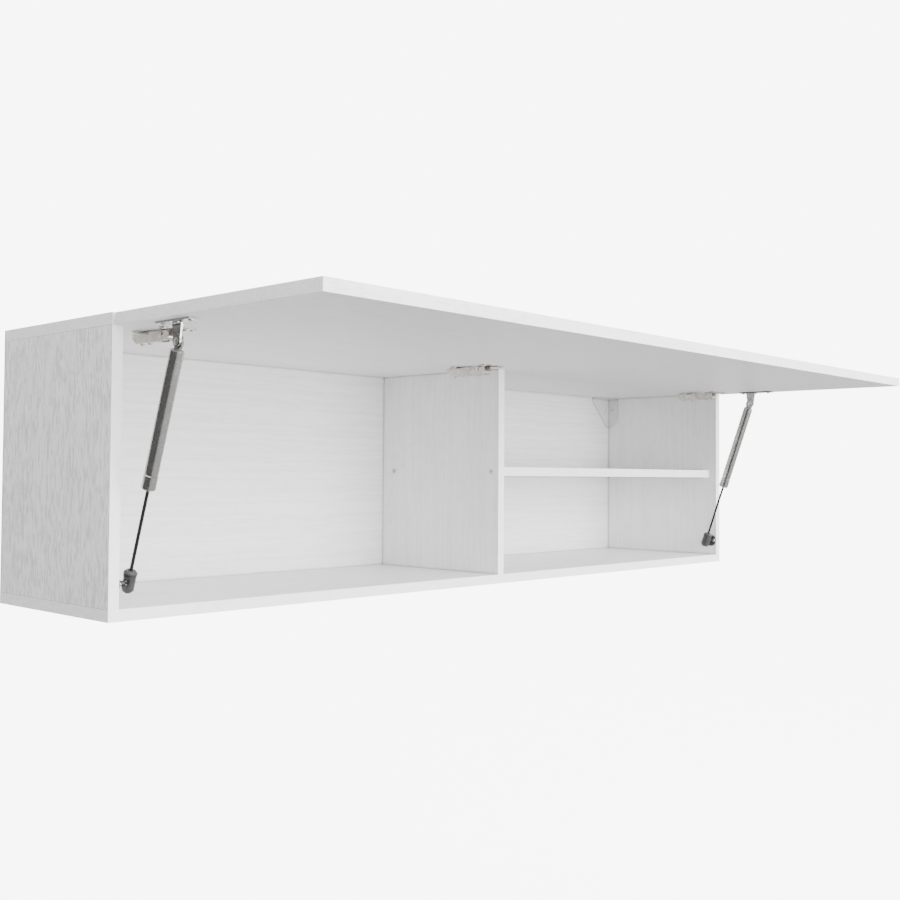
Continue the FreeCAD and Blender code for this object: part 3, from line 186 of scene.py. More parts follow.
def new_group(
    name: str, inputs: dict[str, tuple[str, object]], outputs: dict[str, str]
) -> tuple[Graph, bpy.types.Node, bpy.types.Node]:
    """Start a shader node group.

    Args:
        name: the group's name.
        inputs: socket type and default value by input name.
        outputs: socket type by output name.

    Returns:
        The group's graph, its input node and its output node.
    """
    tree = bpy.data.node_groups.new(name, "ShaderNodeTree")
    for label, (kind, value) in inputs.items():
        socket = tree.interface.new_socket(label, in_out="INPUT", socket_type="NodeSocket" + kind)
        socket.default_value = value
    for label, kind in outputs.items():
        tree.interface.new_socket(label, in_out="OUTPUT", socket_type="NodeSocket" + kind)
    return Graph(tree), tree.nodes.new("NodeGroupInput"), tree.nodes.new("NodeGroupOutput")


class Effects:
    """The surface effects that several finishes share, each built once as a node group."""

    def __init__(self) -> None:
        """Build every group."""
        self.foil_grain = self._foil_grain()
        self.fine_speckle = self._fine_speckle()
        self.rolled_streaks = self._rolled_streaks()
        self.painted_occlusion_shade = self._painted_occlusion_shade()
        self.barrel = self._barrel()

    @staticmethod
    def _foil_grain() -> bpy.types.NodeTree:
        """Embossed wood grain of a foil.

        Returns:
            A group that gives a height, the pores as a mask and the soft lines between them as a mask.
        """
        graph, given, result = new_group(
            "Foil Grain",
            {"Vector": ("Vector", (0, 0, 0)), "Fleck Stretch": ("Vector", (1, 1, 1)),
             "Line Stretch": ("Vector", (1, 1, 1)), "Flecks": ("Float", 300.0), "Lines": ("Float", 180.0)},
            {"Height": "Float", "Flecks": "Float", "Lines": "Float"},
        )
        sway = graph.add("TexNoise", Vector=given.outputs["Vector"], Scale=7.0, Detail=2.0)
        drift = graph.add("VectorMath", operation="SCALE")
        graph.feed(drift, 0, sway.outputs["Color"])
        graph.feed(drift, 3, 0.010)
        places = []
        for stretch in ("Fleck Stretch", "Line Stretch"):
            swayed = graph.add("VectorMath", operation="ADD")
            graph.feed(swayed, 0, graph.vector("MULTIPLY", given.outputs["Vector"], given.outputs[stretch]))
            graph.feed(swayed, 1, drift.outputs[0])
            places.append(swayed.outputs[0])
        flecks = graph.add(
            "TexNoise", Vector=places[0], Scale=given.outputs["Flecks"], Detail=4.0, Roughness=0.66)
        lines = graph.add(
            "TexNoise", Vector=places[1], Scale=given.outputs["Lines"], Detail=2.0, Roughness=0.45)
        crowd = graph.add("TexNoise", Vector=given.outputs["Vector"], Scale=34.0, Detail=2.0)
        pores = graph.math("SUBTRACT", 1.0, graph.ramp(flecks.outputs["Fac"], 0.34, 0.56))
        crowded = graph.math("ADD", 0.45, graph.ramp(crowd.outputs["Fac"], 0.3, 0.7))
        pores = graph.math("MULTIPLY", pores, crowded, clamp=True)
        rows = graph.ramp(lines.outputs["Fac"], 0.36, 0.64)
        graph.feed(result, "Height", graph.math("SUBTRACT", graph.math("MULTIPLY", rows, 0.35), pores))
        graph.feed(result, "Flecks", pores)
        graph.feed(result, "Lines", rows)
        return graph.tree

    @staticmethod
    def _fine_speckle() -> bpy.types.NodeTree:
        """Fine all-over unevenness of mouldings, paint and bands.

        Returns:
            A group that gives a height and a shade.
        """
        graph, given, result = new_group(
            "Fine Speckle",
            {"Vector": ("Vector", (0, 0, 0)), "Fine": ("Float", 1800.0), "Broad": ("Float", 60.0)},
            {"Height": "Float", "Shade": "Float"},
        )
        place = given.outputs["Vector"]
        fine = graph.add("TexNoise", Vector=place, Scale=given.outputs["Fine"], Detail=2.0)
        broad = graph.add("TexNoise", Vector=place, Scale=given.outputs["Broad"], Detail=3.0)
        graph.feed(result, "Height", fine.outputs["Fac"])
        graph.feed(result, "Shade", graph.ramp(broad.outputs["Fac"], 0.3, 0.7))
        return graph.tree

    @staticmethod
    def _rolled_streaks() -> bpy.types.NodeTree:
        """Drawn and rolled metal: faint streaks with soft stains.

        Returns:
            A group that gives a height and a shade.
        """
        graph, given, result = new_group(
            "Rolled Streaks",
            {"Vector": ("Vector", (0, 0, 0)), "Stretch": ("Vector", (1, 1, 1)), "Scale": ("Float", 900.0)},
            {"Height": "Float", "Shade": "Float"},
        )
        along = graph.vector("MULTIPLY", given.outputs["Vector"], given.outputs["Stretch"])
        streaks = graph.add("TexNoise", Vector=along, Scale=given.outputs["Scale"], Detail=3.0)
        stains = graph.add("TexNoise", Vector=given.outputs["Vector"], Scale=140.0, Detail=4.0)
        shade = graph.math("MULTIPLY", graph.ramp(stains.outputs["Fac"], 0.3, 0.7), 0.6)
        shade = graph.math("ADD", shade, graph.math("MULTIPLY", streaks.outputs["Fac"], 0.4), clamp=True)
        graph.feed(result, "Height", streaks.outputs["Fac"])
        graph.feed(result, "Shade", shade)
        return graph.tree

    @staticmethod
    def _painted_occlusion_shade() -> bpy.types.NodeTree:
        """Painted shade: a narrow dark line, drawn from ambient occlusion, where one piece meets another and
        in inner corners.

        Returns:
            A group that gives the painted shade as a mask.
        """
        graph, given, result = new_group("Crevices", {"Reach": ("Float", 0.004)}, {"Mask": "Float"})
        outlook = graph.add("AmbientOcclusion", samples=4, Distance=given.outputs["Reach"])
        graph.feed(result, "Mask", graph.math("SUBTRACT", 1.0, graph.ramp(outlook.outputs["AO"], 0.42, 0.90)))
        return graph.tree

    @staticmethod
    def _barrel() -> bpy.types.NodeTree:
        """The true roundness of a straight round bar or tube.

        Returns:
            A group that gives a normal, which is the mesh's own where it isn't the barrel's.
        """
        graph, given, result = new_group(
            "Barrel",
            {"Vector": ("Vector", (0, 0, 0)), "Centre": ("Vector", (0, 0, 0)), "Axis": ("Vector", (0, 0, 1))},
            {"Normal": "Vector"},
        )
        offset = graph.vector("SUBTRACT", given.outputs["Vector"], given.outputs["Centre"])
        along = graph.vector("PROJECT", offset, given.outputs["Axis"])
        outward = graph.add(
            "VectorTransform", vector_type="NORMAL", convert_from="OBJECT", convert_to="WORLD")
        graph.feed(outward, 0, graph.vector("NORMALIZE", graph.vector("SUBTRACT", offset, along)))
        own = graph.add("NewGeometry").outputs["Normal"]
        alike = graph.vector("DOT_PRODUCT", outward.outputs[0], own)
        turn = graph.add("VectorMath", operation="SCALE")
        graph.feed(turn, 0, graph.vector("SUBTRACT", outward.outputs[0], own))
        graph.feed(turn, 3, graph.ramp(alike, 0.85, 0.93))
        graph.feed(result, "Normal", graph.vector("NORMALIZE", graph.vector("ADD", own, turn.outputs[0])))
        return graph.tree


EFFECTS = Effects()


# ---------------------------------------------------------------------------------------------- finishes

@dataclass(frozen=True)
class Barrel:
    """The middle line of a straight round bar or tube, in metres."""

    centre: tuple[float, float, float]
    axis: tuple[float, float, float]


@dataclass
class Coating:
    """A material while it is being made."""

    name: str
    # share and tone of the painted shade that ambient occlusion draws where pieces meet
    painted_shade_share: float = 0.75
    painted_shade_tone: float = 0.33

    def __post_init__(self) -> None:
        """Start the material with its shader and its place in the object's own coordinates."""
        self.material = bpy.data.materials.new(self.name)
        self.material.use_nodes = True
        self.graph = Graph(self.material.node_tree)
        self.shader = self.material.node_tree.nodes["Principled BSDF"]
        self.place = self.graph.add("TexCoord").outputs["Object"]

    def effect(self, group: bpy.types.NodeTree, **inputs: object) -> bpy.types.Node:
        """Add a shared effect.

        Args:
            group: the effect's node group.
            **inputs: its inputs, with spaces as underscores.

        Returns:
            The group's node, placed in the object's own coordinates.
        """
        node = self.graph.add("Group")
        node.node_tree = group
        if "Vector" in node.inputs:
            self.graph.feed(node, "Vector", self.place)
        for label, value in inputs.items():
            self.graph.feed(node, label.replace("_", " "), value)
        return node

    def colour(self, share: object, light: Colour, dark: Colour, reach: float) -> None:
        """Let the colour go from light to dark by a share, and darker still by painted shade where pieces
        meet.
        """
        self.paint(self.graph.blend(share, (*light, 1), (*dark, 1)), dark, reach)

    def paint(
        self, body: bpy.types.NodeSocket, dark: Colour, reach: float,
        joints: bpy.types.NodeSocket | None = None,
    ) -> None:
        """Put the colour on the shader.

        Args:
            body: the colour away from other pieces.
            dark: its darkest tone, of which the painted shade is a part.
            reach: how far the painted shade spreads from where pieces meet, in metres.
            joints: dark joint lines, as a mask, drawn in the same tone as the painted shade.
        """
        # painted shade: ambient occlusion darkens the colour where pieces meet and in inner corners
        mask = self.effect(EFFECTS.painted_occlusion_shade, Reach=reach).outputs["Mask"]
        if joints is not None:
            mask = self.graph.math("MAXIMUM", mask, joints)
        share = self.graph.math("MULTIPLY", mask, self.painted_shade_share)
        painted_shade_colour = tuple(self.painted_shade_tone * part for part in dark)
        self.graph.feed(self.shader, "Base Color", self.graph.blend(share, body, (*painted_shade_colour, 1)))

    def roughness(self, share: object, low: float, span: float) -> None:
        """Let the roughness go from low upwards by a share of the span."""
        rough = self.graph.math("ADD", low, self.graph.math("MULTIPLY", share, span))
        self.graph.feed(self.shader, "Roughness", rough)

    def relief(
        self, height: bpy.types.NodeSocket, depth: float, edge: float, barrel: Barrel | None = None
    ) -> None:
        """Give the shader its relief.

        Args:
            height: the height, from 0 to 1.
            depth: what a height of 1 stands for, in metres.
            edge: radius that the piece's sharp edges seem broken to, in metres.
            barrel: where the piece is a straight round bar, its line.
        """
        if barrel:
            form = self.effect(EFFECTS.barrel, Centre=barrel.centre, Axis=barrel.axis).outputs["Normal"]
        else:
            form = self.graph.add("Bevel", samples=4, Radius=edge).outputs[0]
        bump = self.graph.add("Bump", Strength=1.0, Distance=depth, Height=height, Normal=form)
        self.graph.feed(self.shader, "Normal", bump.outputs["Normal"])


@dataclass(frozen=True)
class FoilFinish:
    """White foil with embossed wood grain, as on the boards."""

    name: str
    grain: Grain
    light: Colour = (0.87, 0.87, 0.87)
    dark: Colour = (0.60, 0.60, 0.60)
    fleck_share: float = 0.22
    line_share: float = 0.20
    depth: float = 0.00014
    edge: float = 0.0005
    # how far the painted occlusion shade spreads, in metres
    reach: float = 0.005
    # painted shade: extra grain flecks on a board's outer face stand for how grazing light darkens it;
    # outer_face is how far out that face lies
    outer_shade_flecks: float = 0.0
    outer_face: float = 0.8
    seams: tuple[float, ...] = ()

    def material(self) -> bpy.types.Material:
        """Make the finish.

        Returns:
            Its new material.
        """
        coating = Coating(self.name)
        grain = coating.effect(EFFECTS.foil_grain, **self.grain.pattern())
        graph = coating.graph
        axes = graph.add("SeparateXYZ")
        graph.feed(axes, 0, coating.place)
        share = self.fleck_share
        # painted shade: more flecks where the outer face lies, darker as grazing light would make it
        if self.outer_shade_flecks:
            far = graph.math("ABSOLUTE", axes.outputs["X"])
            outer_shade = graph.ramp(far, self.outer_face - 1 * MM, self.outer_face)
            share = graph.math("ADD", share, graph.math("MULTIPLY", outer_shade, self.outer_shade_flecks))
        flecks = graph.math("MULTIPLY", grain.outputs["Flecks"], share)
        rows = graph.math("MULTIPLY", grain.outputs["Lines"], self.line_share)
        tint = graph.math("ADD", flecks, rows, clamp=True)
        joints = None
        for level in self.seams:
            away = graph.math("ABSOLUTE", graph.math("SUBTRACT", axes.outputs["Z"], level))
            joint = graph.math("SUBTRACT", 1.0, graph.ramp(away, 0.2 * MM, 0.8 * MM))
            joints = joint if joints is None else graph.math("MAXIMUM", joints, joint)
        coating.paint(graph.blend(tint, (*self.light, 1), (*self.dark, 1)), self.dark, self.reach, joints)
        coating.roughness(tint, 0.44, 0.18)
        coating.relief(grain.outputs["Height"], self.depth, self.edge)
        return coating.material


@dataclass(frozen=True)
class FibreboardFinish:
    """Thin fibreboard: white foil in front, bare brown fibres behind and on its edges."""

    name: str
    front: Colour = (0.87, 0.87, 0.87)
    front_dark: Colour = (0.62, 0.62, 0.62)
    fibre: Colour = (0.36, 0.23, 0.13)
    fibre_dark: Colour = (0.25, 0.155, 0.085)
    foil_depth: float = 0.0004
    face: float = -0.0030
    # how far the painted occlusion shade spreads, in metres
    reach: float = 0.005

    def material(self) -> bpy.types.Material:
        """Make the finish.

        Returns:
            Its new material.
        """
        coating = Coating(self.name)
        graph = coating.graph
        grain = coating.effect(EFFECTS.foil_grain, **Grain.ALONG_X.pattern())
        speckle = coating.effect(EFFECTS.fine_speckle, Fine=900.0, Broad=160.0)
        axes = graph.add("SeparateXYZ")
        graph.feed(axes, 0, coating.place)
        bare = graph.ramp(axes.outputs["Y"], self.face + self.foil_depth, self.face + 2 * self.foil_depth)
        rows = graph.math("MULTIPLY", grain.outputs["Lines"], 0.26)
        foil_tint = graph.math("ADD", graph.math("MULTIPLY", grain.outputs["Flecks"], 0.16), rows)
        white = graph.blend(foil_tint, (*self.front, 1), (*self.front_dark, 1))
        brown = graph.blend(speckle.outputs["Shade"], (*self.fibre, 1), (*self.fibre_dark, 1))
        coating.paint(graph.blend(bare, white, brown), self.front_dark, self.reach)
        coating.roughness(bare, 0.5, 0.34)
        coating.relief(grain.outputs["Height"], 0.00012, 0.0003)
        return coating.material


@dataclass(frozen=True)
class SmoothFinish:
    """A nearly even surface: bands, mouldings and paint."""

    name: str
    light: Colour
    dark: Colour
    roughness: float
    metallic: float = 0.0
    coat: float = 0.0
    depth: float = 0.00001
    fine: float = 1800.0
    edge: float = 0.0003
    # how far the painted occlusion shade spreads, in metres
    reach: float = 0.004
    glow: float = 0.0
    barrel: Barrel | None = None

    def material(self) -> bpy.types.Material:
        """Make the finish.

        Returns:
            Its new material.
        """
        coating = Coating(self.name)
        speckle = coating.effect(EFFECTS.fine_speckle, Fine=self.fine)
        coating.colour(speckle.outputs["Shade"], self.light, self.dark, self.reach)
        coating.roughness(speckle.outputs["Shade"], self.roughness - 0.04, 0.08)
        coating.shader.inputs["Metallic"].default_value = self.metallic
        coating.shader.inputs["Coat Weight"].default_value = self.coat
        coating.shader.inputs["Emission Color"].default_value = WHITE
        coating.shader.inputs["Emission Strength"].default_value = self.glow
        coating.relief(speckle.outputs["Height"], self.depth, self.edge, self.barrel)
        return coating.material


@dataclass(frozen=True)
class MetalFinish:
    """Plated or drawn metal with faint streaks along one way."""

    name: str
    light: Colour
    dark: Colour
    roughness: float
    stretch: tuple[float, float, float] = (1.0, 0.08, 1.0)
    depth: float = 0.000008
    edge: float = 0.00025
    # how far the painted occlusion shade spreads, in metres
    reach: float = 0.003
    barrel: Barrel | None = None

    def material(self) -> bpy.types.Material:
        """Make the finish.

        Returns:
            Its new material.
        """
        coating = Coating(self.name)
        streaks = coating.effect(EFFECTS.rolled_streaks, Stretch=self.stretch)
        coating.colour(streaks.outputs["Shade"], self.light, self.dark, self.reach)
        coating.roughness(streaks.outputs["Shade"], self.roughness - 0.06, 0.14)
        coating.shader.inputs["Metallic"].default_value = 1.0
        coating.relief(streaks.outputs["Height"], self.depth, self.edge, self.barrel)
        return coating.material


FOIL_ALONG_X = FoilFinish("foil_grain_along_x", Grain.ALONG_X)
# the sides get painted shade as extra flecks on their outer faces, and dark joint lines where top and bottom
# meet them
FOIL_ALONG_Z = FoilFinish("foil_grain_along_z", Grain.ALONG_Z, outer_shade_flecks=1.2, seams=(0.028, -0.340))
FLAP_FOIL = FoilFinish("flap_foil", Grain.ALONG_X, fleck_share=0.22, line_share=0.08, depth=0.00006)
FLAP_BAND = FoilFinish(
    "flap_band", Grain.ALONG_X, fleck_share=0.4, line_share=0.1, depth=0.00008, edge=0.0004)
BACK_BOARD = FibreboardFinish("back_fibreboard")
EDGE_BAND = SmoothFinish("edge_band", (0.90, 0.90, 0.90), (0.86, 0.86, 0.86), 0.42, edge=0.0004)
WHITE_CAP = SmoothFinish("white_cap", (0.88, 0.88, 0.87), (0.84, 0.84, 0.83), 0.38)
WHITE_STEEL = SmoothFinish(
    "white_painted_steel", (0.74, 0.74, 0.74), (0.68, 0.68, 0.68), 0.36, coat=0.2, fine=900.0, reach=0.006)
TUBE_PAINT = MetalFinish("tube_paint", (0.46, 0.455, 0.44), (0.42, 0.415, 0.40), 0.24, depth=0.000001)
BLACK_ROD = SmoothFinish(
    "black_rod", (0.030, 0.030, 0.032), (0.024, 0.024, 0.026), 0.26, metallic=0.6, depth=0.000002)
BLACK_MOULDING = SmoothFinish(
    "black_moulding", (0.040, 0.040, 0.042), (0.028, 0.028, 0.030), 0.42, depth=0.00003, edge=0.0006)
NICKEL = MetalFinish("nickel_plate", (0.70, 0.67, 0.62), (0.56, 0.53, 0.49), 0.28)
ZINC = MetalFinish("zinc_plate", (0.72, 0.72, 0.72), (0.58, 0.58, 0.60), 0.32)
BRACKET_STEEL = MetalFinish("bracket_steel", (0.56, 0.55, 0.53), (0.44, 0.43, 0.41), 0.24)
BEECH = MetalFinish("beech", (0.62, 0.45, 0.28), (0.48, 0.33, 0.19), 0.6, stretch=(1.0, 1.0, 0.08))
FLOOR_PAINT = SmoothFinish("floor_paint", (0.93, 0.93, 0.93), (0.92, 0.92, 0.92), 0.9, glow=4.7)
CARD_BLACK = SmoothFinish("card_black", (0.05, 0.05, 0.05), (0.045, 0.045, 0.045), 0.9)


def dress(node: str, material: bpy.types.Material) -> None:
    """Give a node of the frame one material on all its faces.

    Args:
        node: the node's name.
        material: what it is finished with.
    """
    mesh = frame["nodes"][node].data
    mesh.materials.clear()
    mesh.materials.append(material)
    log.info("%s wears %s", node, material.name)


# --------------------------------------------------------------------------------------------- fasteners

@dataclass(frozen=True)
class Seat:
    """Where one fastener sits: the middle of its head's face, the way it points, and its sizes."""

    place: Vector
    way: Vector
    length: float
    radius: float

    def matrix(self) -> Matrix:
        """Brings a pattern whose head is at the origin and whose tip lies along -Z into place."""
        turn = Vector((0.0, 0.0, -1.0)).rotation_difference(self.way)
        return Matrix.Translation(self.place) @ turn.to_matrix().to_4x4()


def loose_parts(node: str) -> list[list[Vector]]:
    """Split a node of the frame into its separate solids.

    Args:
        node: the node's name.

    Returns:
        The corners of each solid.
    """
    mesh = bmesh.new()
    mesh.from_mesh(frame["nodes"][node].data)
    bmesh.ops.remove_doubles(mesh, verts=mesh.verts, dist=WELD_DISTANCE)
    unseen, parts = set(mesh.verts), []
    while unseen:
        reached, part = [unseen.pop()], []
        while reached:
            corner = reached.pop()
            part.append(corner.co.copy())
            for edge in corner.link_edges:
                other = edge.other_vert(corner)
                if other in unseen:
                    unseen.remove(other)
                    reached.append(other)
        parts.append(part)
    mesh.free()
    return parts


def seat_of(corners: list[Vector], wide_head: bool) -> Seat:
    """Find how one turned fastener sits.

    Args:
        corners: the corners of its solid.
        wide_head: True where its head is its wider end.

    Returns:
        The fastener's seat.
    """
    low = Vector(min(corner[axis] for corner in corners) for axis in range(3))
    high = Vector(max(corner[axis] for corner in corners) for axis in range(3))
    extent, middle = high - low, (low + high) / 2
    axis = min(range(3), key=lambda way: abs(extent[way - 1] - extent[way - 2]))
    reach = []
    for end in (low, high):
        near = [corner for corner in corners if abs(corner[axis] - end[axis]) < END_DISTANCE]
        across = [way for way in range(3) if way != axis]
        reach.append(max(math.hypot(*(corner[way] - middle[way] for way in across)) for corner in near))
    head_is_high = (reach[1] > reach[0]) == wide_head
    place, way = middle.copy(), Vector((0.0, 0.0, 0.0))
    place[axis] = (high if head_is_high else low)[axis]
    way[axis] = -1.0 if head_is_high else 1.0
    return Seat(place, way, extent[axis], extent[axis - 1] / 2)


class Drive(Enum):
    """The recess in a screw's head, as its number of points."""

    CROSS = 4
    HEXAGON = 6

    def outline(self, reach: float) -> list[tuple[float, float]]:
        """The recess seen from above.

        Args:
            reach: radius of the recess.

        Returns:
            Its corners, anticlockwise.
        """
        if self is Drive.HEXAGON:
            turns = [math.tau * step / 6 for step in range(6)]
            return [(reach * math.cos(turn), reach * math.sin(turn)) for turn in turns]
        narrow = 0.27 * reach
        arm = [(reach, -narrow), (reach, narrow), (narrow, narrow)]
        corners = []
        for step in range(4):
            cosine, sine = round(math.cos(math.tau * step / 4)), round(math.sin(math.tau * step / 4))
            corners += [(x * cosine - y * sine, x * sine + y * cosine) for x, y in arm]
        return corners


class Turning:
    """A turned mesh under construction, its head at the origin and its tip along -Z, in metres."""

    def __init__(self, count: int = 24) -> None:
        """Start with nothing.

        Args:
            count: corners of every ring.
        """
        self.mesh = bmesh.new()
        self.count = count

    def ring(self, radius: float, level: float, crest: float = 0.0, phase: float = 0.0) -> Ring:
        """Add a ring of corners.

        Args:
            radius: the ring's radius.
            level: its height.
            crest: how far a thread stands out from it.
            phase: where the thread's crest is on it, in turns.

        Returns:
            The ring's corners.
        """
        corners = []
        for step in range(self.count):
            share = step / self.count
            rise = crest * max(0.0, 1.0 - 2.6 * abs((share + phase + 0.5) % 1.0 - 0.5))
            turn = math.tau * share
            place = ((radius + rise) * math.cos(turn), (radius + rise) * math.sin(turn), level)
            corners.append(self.mesh.verts.new(place))
        return corners

    def sleeve(self, upper: Ring, lower: Ring) -> None:
        """Join two rings with faces."""
        for step in range(self.count):
            after = (step + 1) % self.count
            self.mesh.faces.new((upper[step], lower[step], lower[after], upper[after]))

    def turned(self, profile: list[tuple[float, float]], start: Ring | None = None) -> Ring:
        """Add rings along a profile, joined to each other.

        Args:
            profile: radius and height of each ring.
            start: a ring that the first one is joined to.

        Returns:
            The last ring.
        """
        for radius, level in profile:
            ring = self.ring(radius, level)
            if start:
                self.sleeve(start, ring)
            start = ring
        return start

    def thread(self, start: Ring, core: float, crest: float, pitch: float, length: float) -> Ring:
        """Add a screw thread below a ring.

        Args:
            start: the ring above it.
            core: radius between the crests.
            crest: height of the crests.
            pitch: distance between the crests.
            length: the thread's length.

        Returns:
            The last ring.
        """
        top = start[0].co.z
        rows = int(4 * length / pitch)
        for row in range(1, rows):
            ring = self.ring(core, top - row * pitch / 4, crest, row / 4)
            self.sleeve(start, ring)
            start = ring
        return self.turned([(core, top - length)], start)

    def tip(self, start: Ring, level: float) -> None:
        """Close the mesh below a ring with a point.

        Args:
            start: the ring.
            level: the point's height.
        """
        point = self.mesh.verts.new((0.0, 0.0, level))
        for step in range(self.count):
            self.mesh.faces.new((start[step], point, start[(step + 1) % self.count]))

    def lid(self, ring: Ring, upward: bool) -> None:
        """Close a ring with one flat face."""
        self.mesh.faces.new(ring if upward else list(reversed(ring)))

    def recess(self, ring: Ring, outline: list[tuple[float, float]], depth: float) -> None:
        """Close a head's top with a recess for the driver.

        Args:
            ring: the ring round the top.
            outline: the recess seen from above.
            depth: its depth.
        """
        level = ring[0].co.z
        rim = [self.mesh.verts.new((x, y, level)) for x, y in outline]
        floor = [self.mesh.verts.new((0.72 * x, 0.72 * y, level - depth)) for x, y in outline]
        loops = []
        for loop in (ring, rim):
            for step, corner in enumerate(loop):
                after = loop[(step + 1) % len(loop)]
                loops.append(self.mesh.edges.get((corner, after)) or self.mesh.edges.new((corner, after)))
        bmesh.ops.triangle_fill(self.mesh, edges=loops, use_beauty=True)
        for step, corner in enumerate(rim):
            after = (step + 1) % len(rim)
            self.mesh.faces.new((corner, rim[after], floor[after], floor[step]))
        self.mesh.faces.new(floor)
        bmesh.ops.recalc_face_normals(self.mesh, faces=self.mesh.faces)


@dataclass(frozen=True)
class Fastener:
    """A kind of fastener that takes a node's place; its lengths are in millimetres."""

    name: str
    finish: MetalFinish | SmoothFinish
    slot: str
    wide_head: bool = True

    def shape(self, radius: float, length: float) -> Turning:
        """Draw the fastener.

        Args:
            radius: the head's radius, in metres.
            length: its whole length, in metres.

        Returns:
            Its mesh.
        """
        raise NotImplementedError

    def fit(self, node: str, body: str) -> None:
        """Put one in each place of a node.

        Args:
            node: the node whose solids it stands for.
            body: the body that it rides on.
        """
        seats = [seat_of(corners, self.wide_head) for corners in loose_parts(node)]
        pattern = self.shape(seats[0].radius, seats[0].length).mesh
        for edge in pattern.edges:
            edge.smooth = len(edge.link_faces) == 2 and edge.calc_face_angle() < SMOOTH_ANGLE
        for face in pattern.faces:
            face.smooth = True
        single = bpy.data.meshes.new(f"{node}_pattern")
        pattern.to_mesh(single)
        pattern.free()
        joined = bmesh.new()
        for seat in seats:
            first = len(joined.verts)
            joined.from_mesh(single)
            joined.verts.ensure_lookup_table()
            bmesh.ops.transform(joined, matrix=seat.matrix(), verts=joined.verts[first:])
        mesh = bpy.data.meshes.new(f"{node}_{self.name}")
        joined.to_mesh(mesh)
        joined.free()
        bpy.data.meshes.remove(single)
        piece = bpy.data.objects.new(f"{node}_{self.name}", mesh)
        bpy.context.scene.collection.objects.link(piece)
        mesh.materials.append(self.finish.material())
        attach(piece, body)
        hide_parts(node)
        log.info("%d %s in place of %s", len(seats), self.name, node)


@dataclass(frozen=True)
class PanHeadScrew(Fastener):
    """A domed screw with a cross recess and a coarse thread."""

    head: float = 2.0
    core: float = 1.25
    crest: float = 0.5
    pitch: float = 1.8
    recess: float = 0.52
    pointed: bool = True

    def shape(self, radius: float, length: float) -> Turning:
        """Draw the screw.

        Args:
            radius: the head's radius, in metres.
            length: its whole length, in metres.

        Returns:
            Its mesh.
        """
        screw = Turning()
        head, core = self.head * MM, self.core * MM
        top = screw.ring(0.62 * radius, 0.0)
        screw.recess(top, Drive.CROSS.outline(self.recess * radius), 0.8 * head)
        under = screw.turned([
            (0.82 * radius, -0.12 * head), (0.95 * radius, -0.34 * head), (radius, -0.62 * head),
            (radius, -head), (core + self.crest * MM, -head)], top)
        point = 3 * core if self.pointed else 0.2 * core
        last = screw.thread(under, core, self.crest * MM, self.pitch * MM, length - head - point)
        if self.pointed:
            screw.tip(last, -length)
        else:
            screw.lid(screw.turned([(0.8 * core, -length)], last), False)
        bmesh.ops.recalc_face_normals(screw.mesh, faces=screw.mesh.faces)
        return screw


@dataclass(frozen=True)
class BoardScrew(Fastener):
    """A long flush board screw with a hexagon recess."""

    head: float = 4.0
    shank: float = 2.5
    smooth: float = 12.0
    core: float = 1.9
    crest: float = 1.1
    pitch: float = 3.0

    def shape(self, radius: float, length: float) -> Turning:
        """Draw the screw.

        Args:
            radius: the head's radius, in metres.
            length: its whole length, in metres.

        Returns:
            Its mesh.
        """
        screw = Turning()
        shank, core = self.shank * MM, self.core * MM
        top = screw.ring(radius - 0.3 * MM, 0.0)
        screw.recess(top, Drive.HEXAGON.outline(0.58 * radius), 2.4 * MM)
        neck = screw.turned([
            (radius, -0.3 * MM), (radius, -self.head * MM + radius - shank), (shank, -self.head * MM),
            (shank, -self.smooth * MM), (core, -self.smooth * MM - shank + core)], top)
        reached = self.smooth * MM + shank - core
        last = screw.thread(neck, core, self.crest * MM, self.pitch * MM, length - reached - 3 * MM)
        screw.tip(last, -length)
        bmesh.ops.recalc_face_normals(screw.mesh, faces=screw.mesh.faces)
        return screw


@dataclass(frozen=True)
class DomedCap(Fastener):
    """A flat moulded cap with a domed face and a rounded rim."""

    wide_head: bool = False

    def shape(self, radius: float, length: float) -> Turning:
        """Draw the cap.

        Args:
            radius: the head's radius, in metres.
            length: its whole length, in metres.

        Returns:
            Its mesh.
        """
        cap = Turning(40)
        crown = cap.ring(0.35 * radius, 0.0)
        cap.lid(crown, True)
        rim = cap.turned([
            (0.62 * radius, -0.10 * length), (0.80 * radius, -0.24 * length), (0.92 * radius, -0.46 * length),
            (0.98 * radius, -0.72 * length), (radius, -length)], crown)
        cap.lid(rim, False)
        bmesh.ops.recalc_face_normals(cap.mesh, faces=cap.mesh.faces)
        return cap


@dataclass(frozen=True)
class DomedRivet(Fastener):
    """A rivet with a domed head at both ends."""

    head: float = 1.6
    shank: float = 2.9

    def shape(self, radius: float, length: float) -> Turning:
        """Draw the rivet.

        Args:
            radius: the head's radius, in metres.
            length: its whole length, in metres.

        Returns:
            Its mesh.
        """
        rivet = Turning(32)
        dome = [(0.45, 0.0), (0.72, 0.16), (0.90, 0.42), (1.0, 0.80), (1.0, 1.0)]
        head = self.head * MM
        crown = rivet.ring(dome[0][0] * radius, 0.0)
        rivet.lid(crown, True)
        upper = [(share * radius, -depth * head) for share, depth in dome[1:]]
        lower = [(share * radius, depth * head - length) for share, depth in reversed(dome)]
        shank = [(self.shank * MM, -head), (self.shank * MM, head - length)]
        last = rivet.turned(upper + shank + lower, crown)
        rivet.lid(last, False)
        bmesh.ops.recalc_face_normals(rivet.mesh, faces=rivet.mesh.faces)
        return rivet


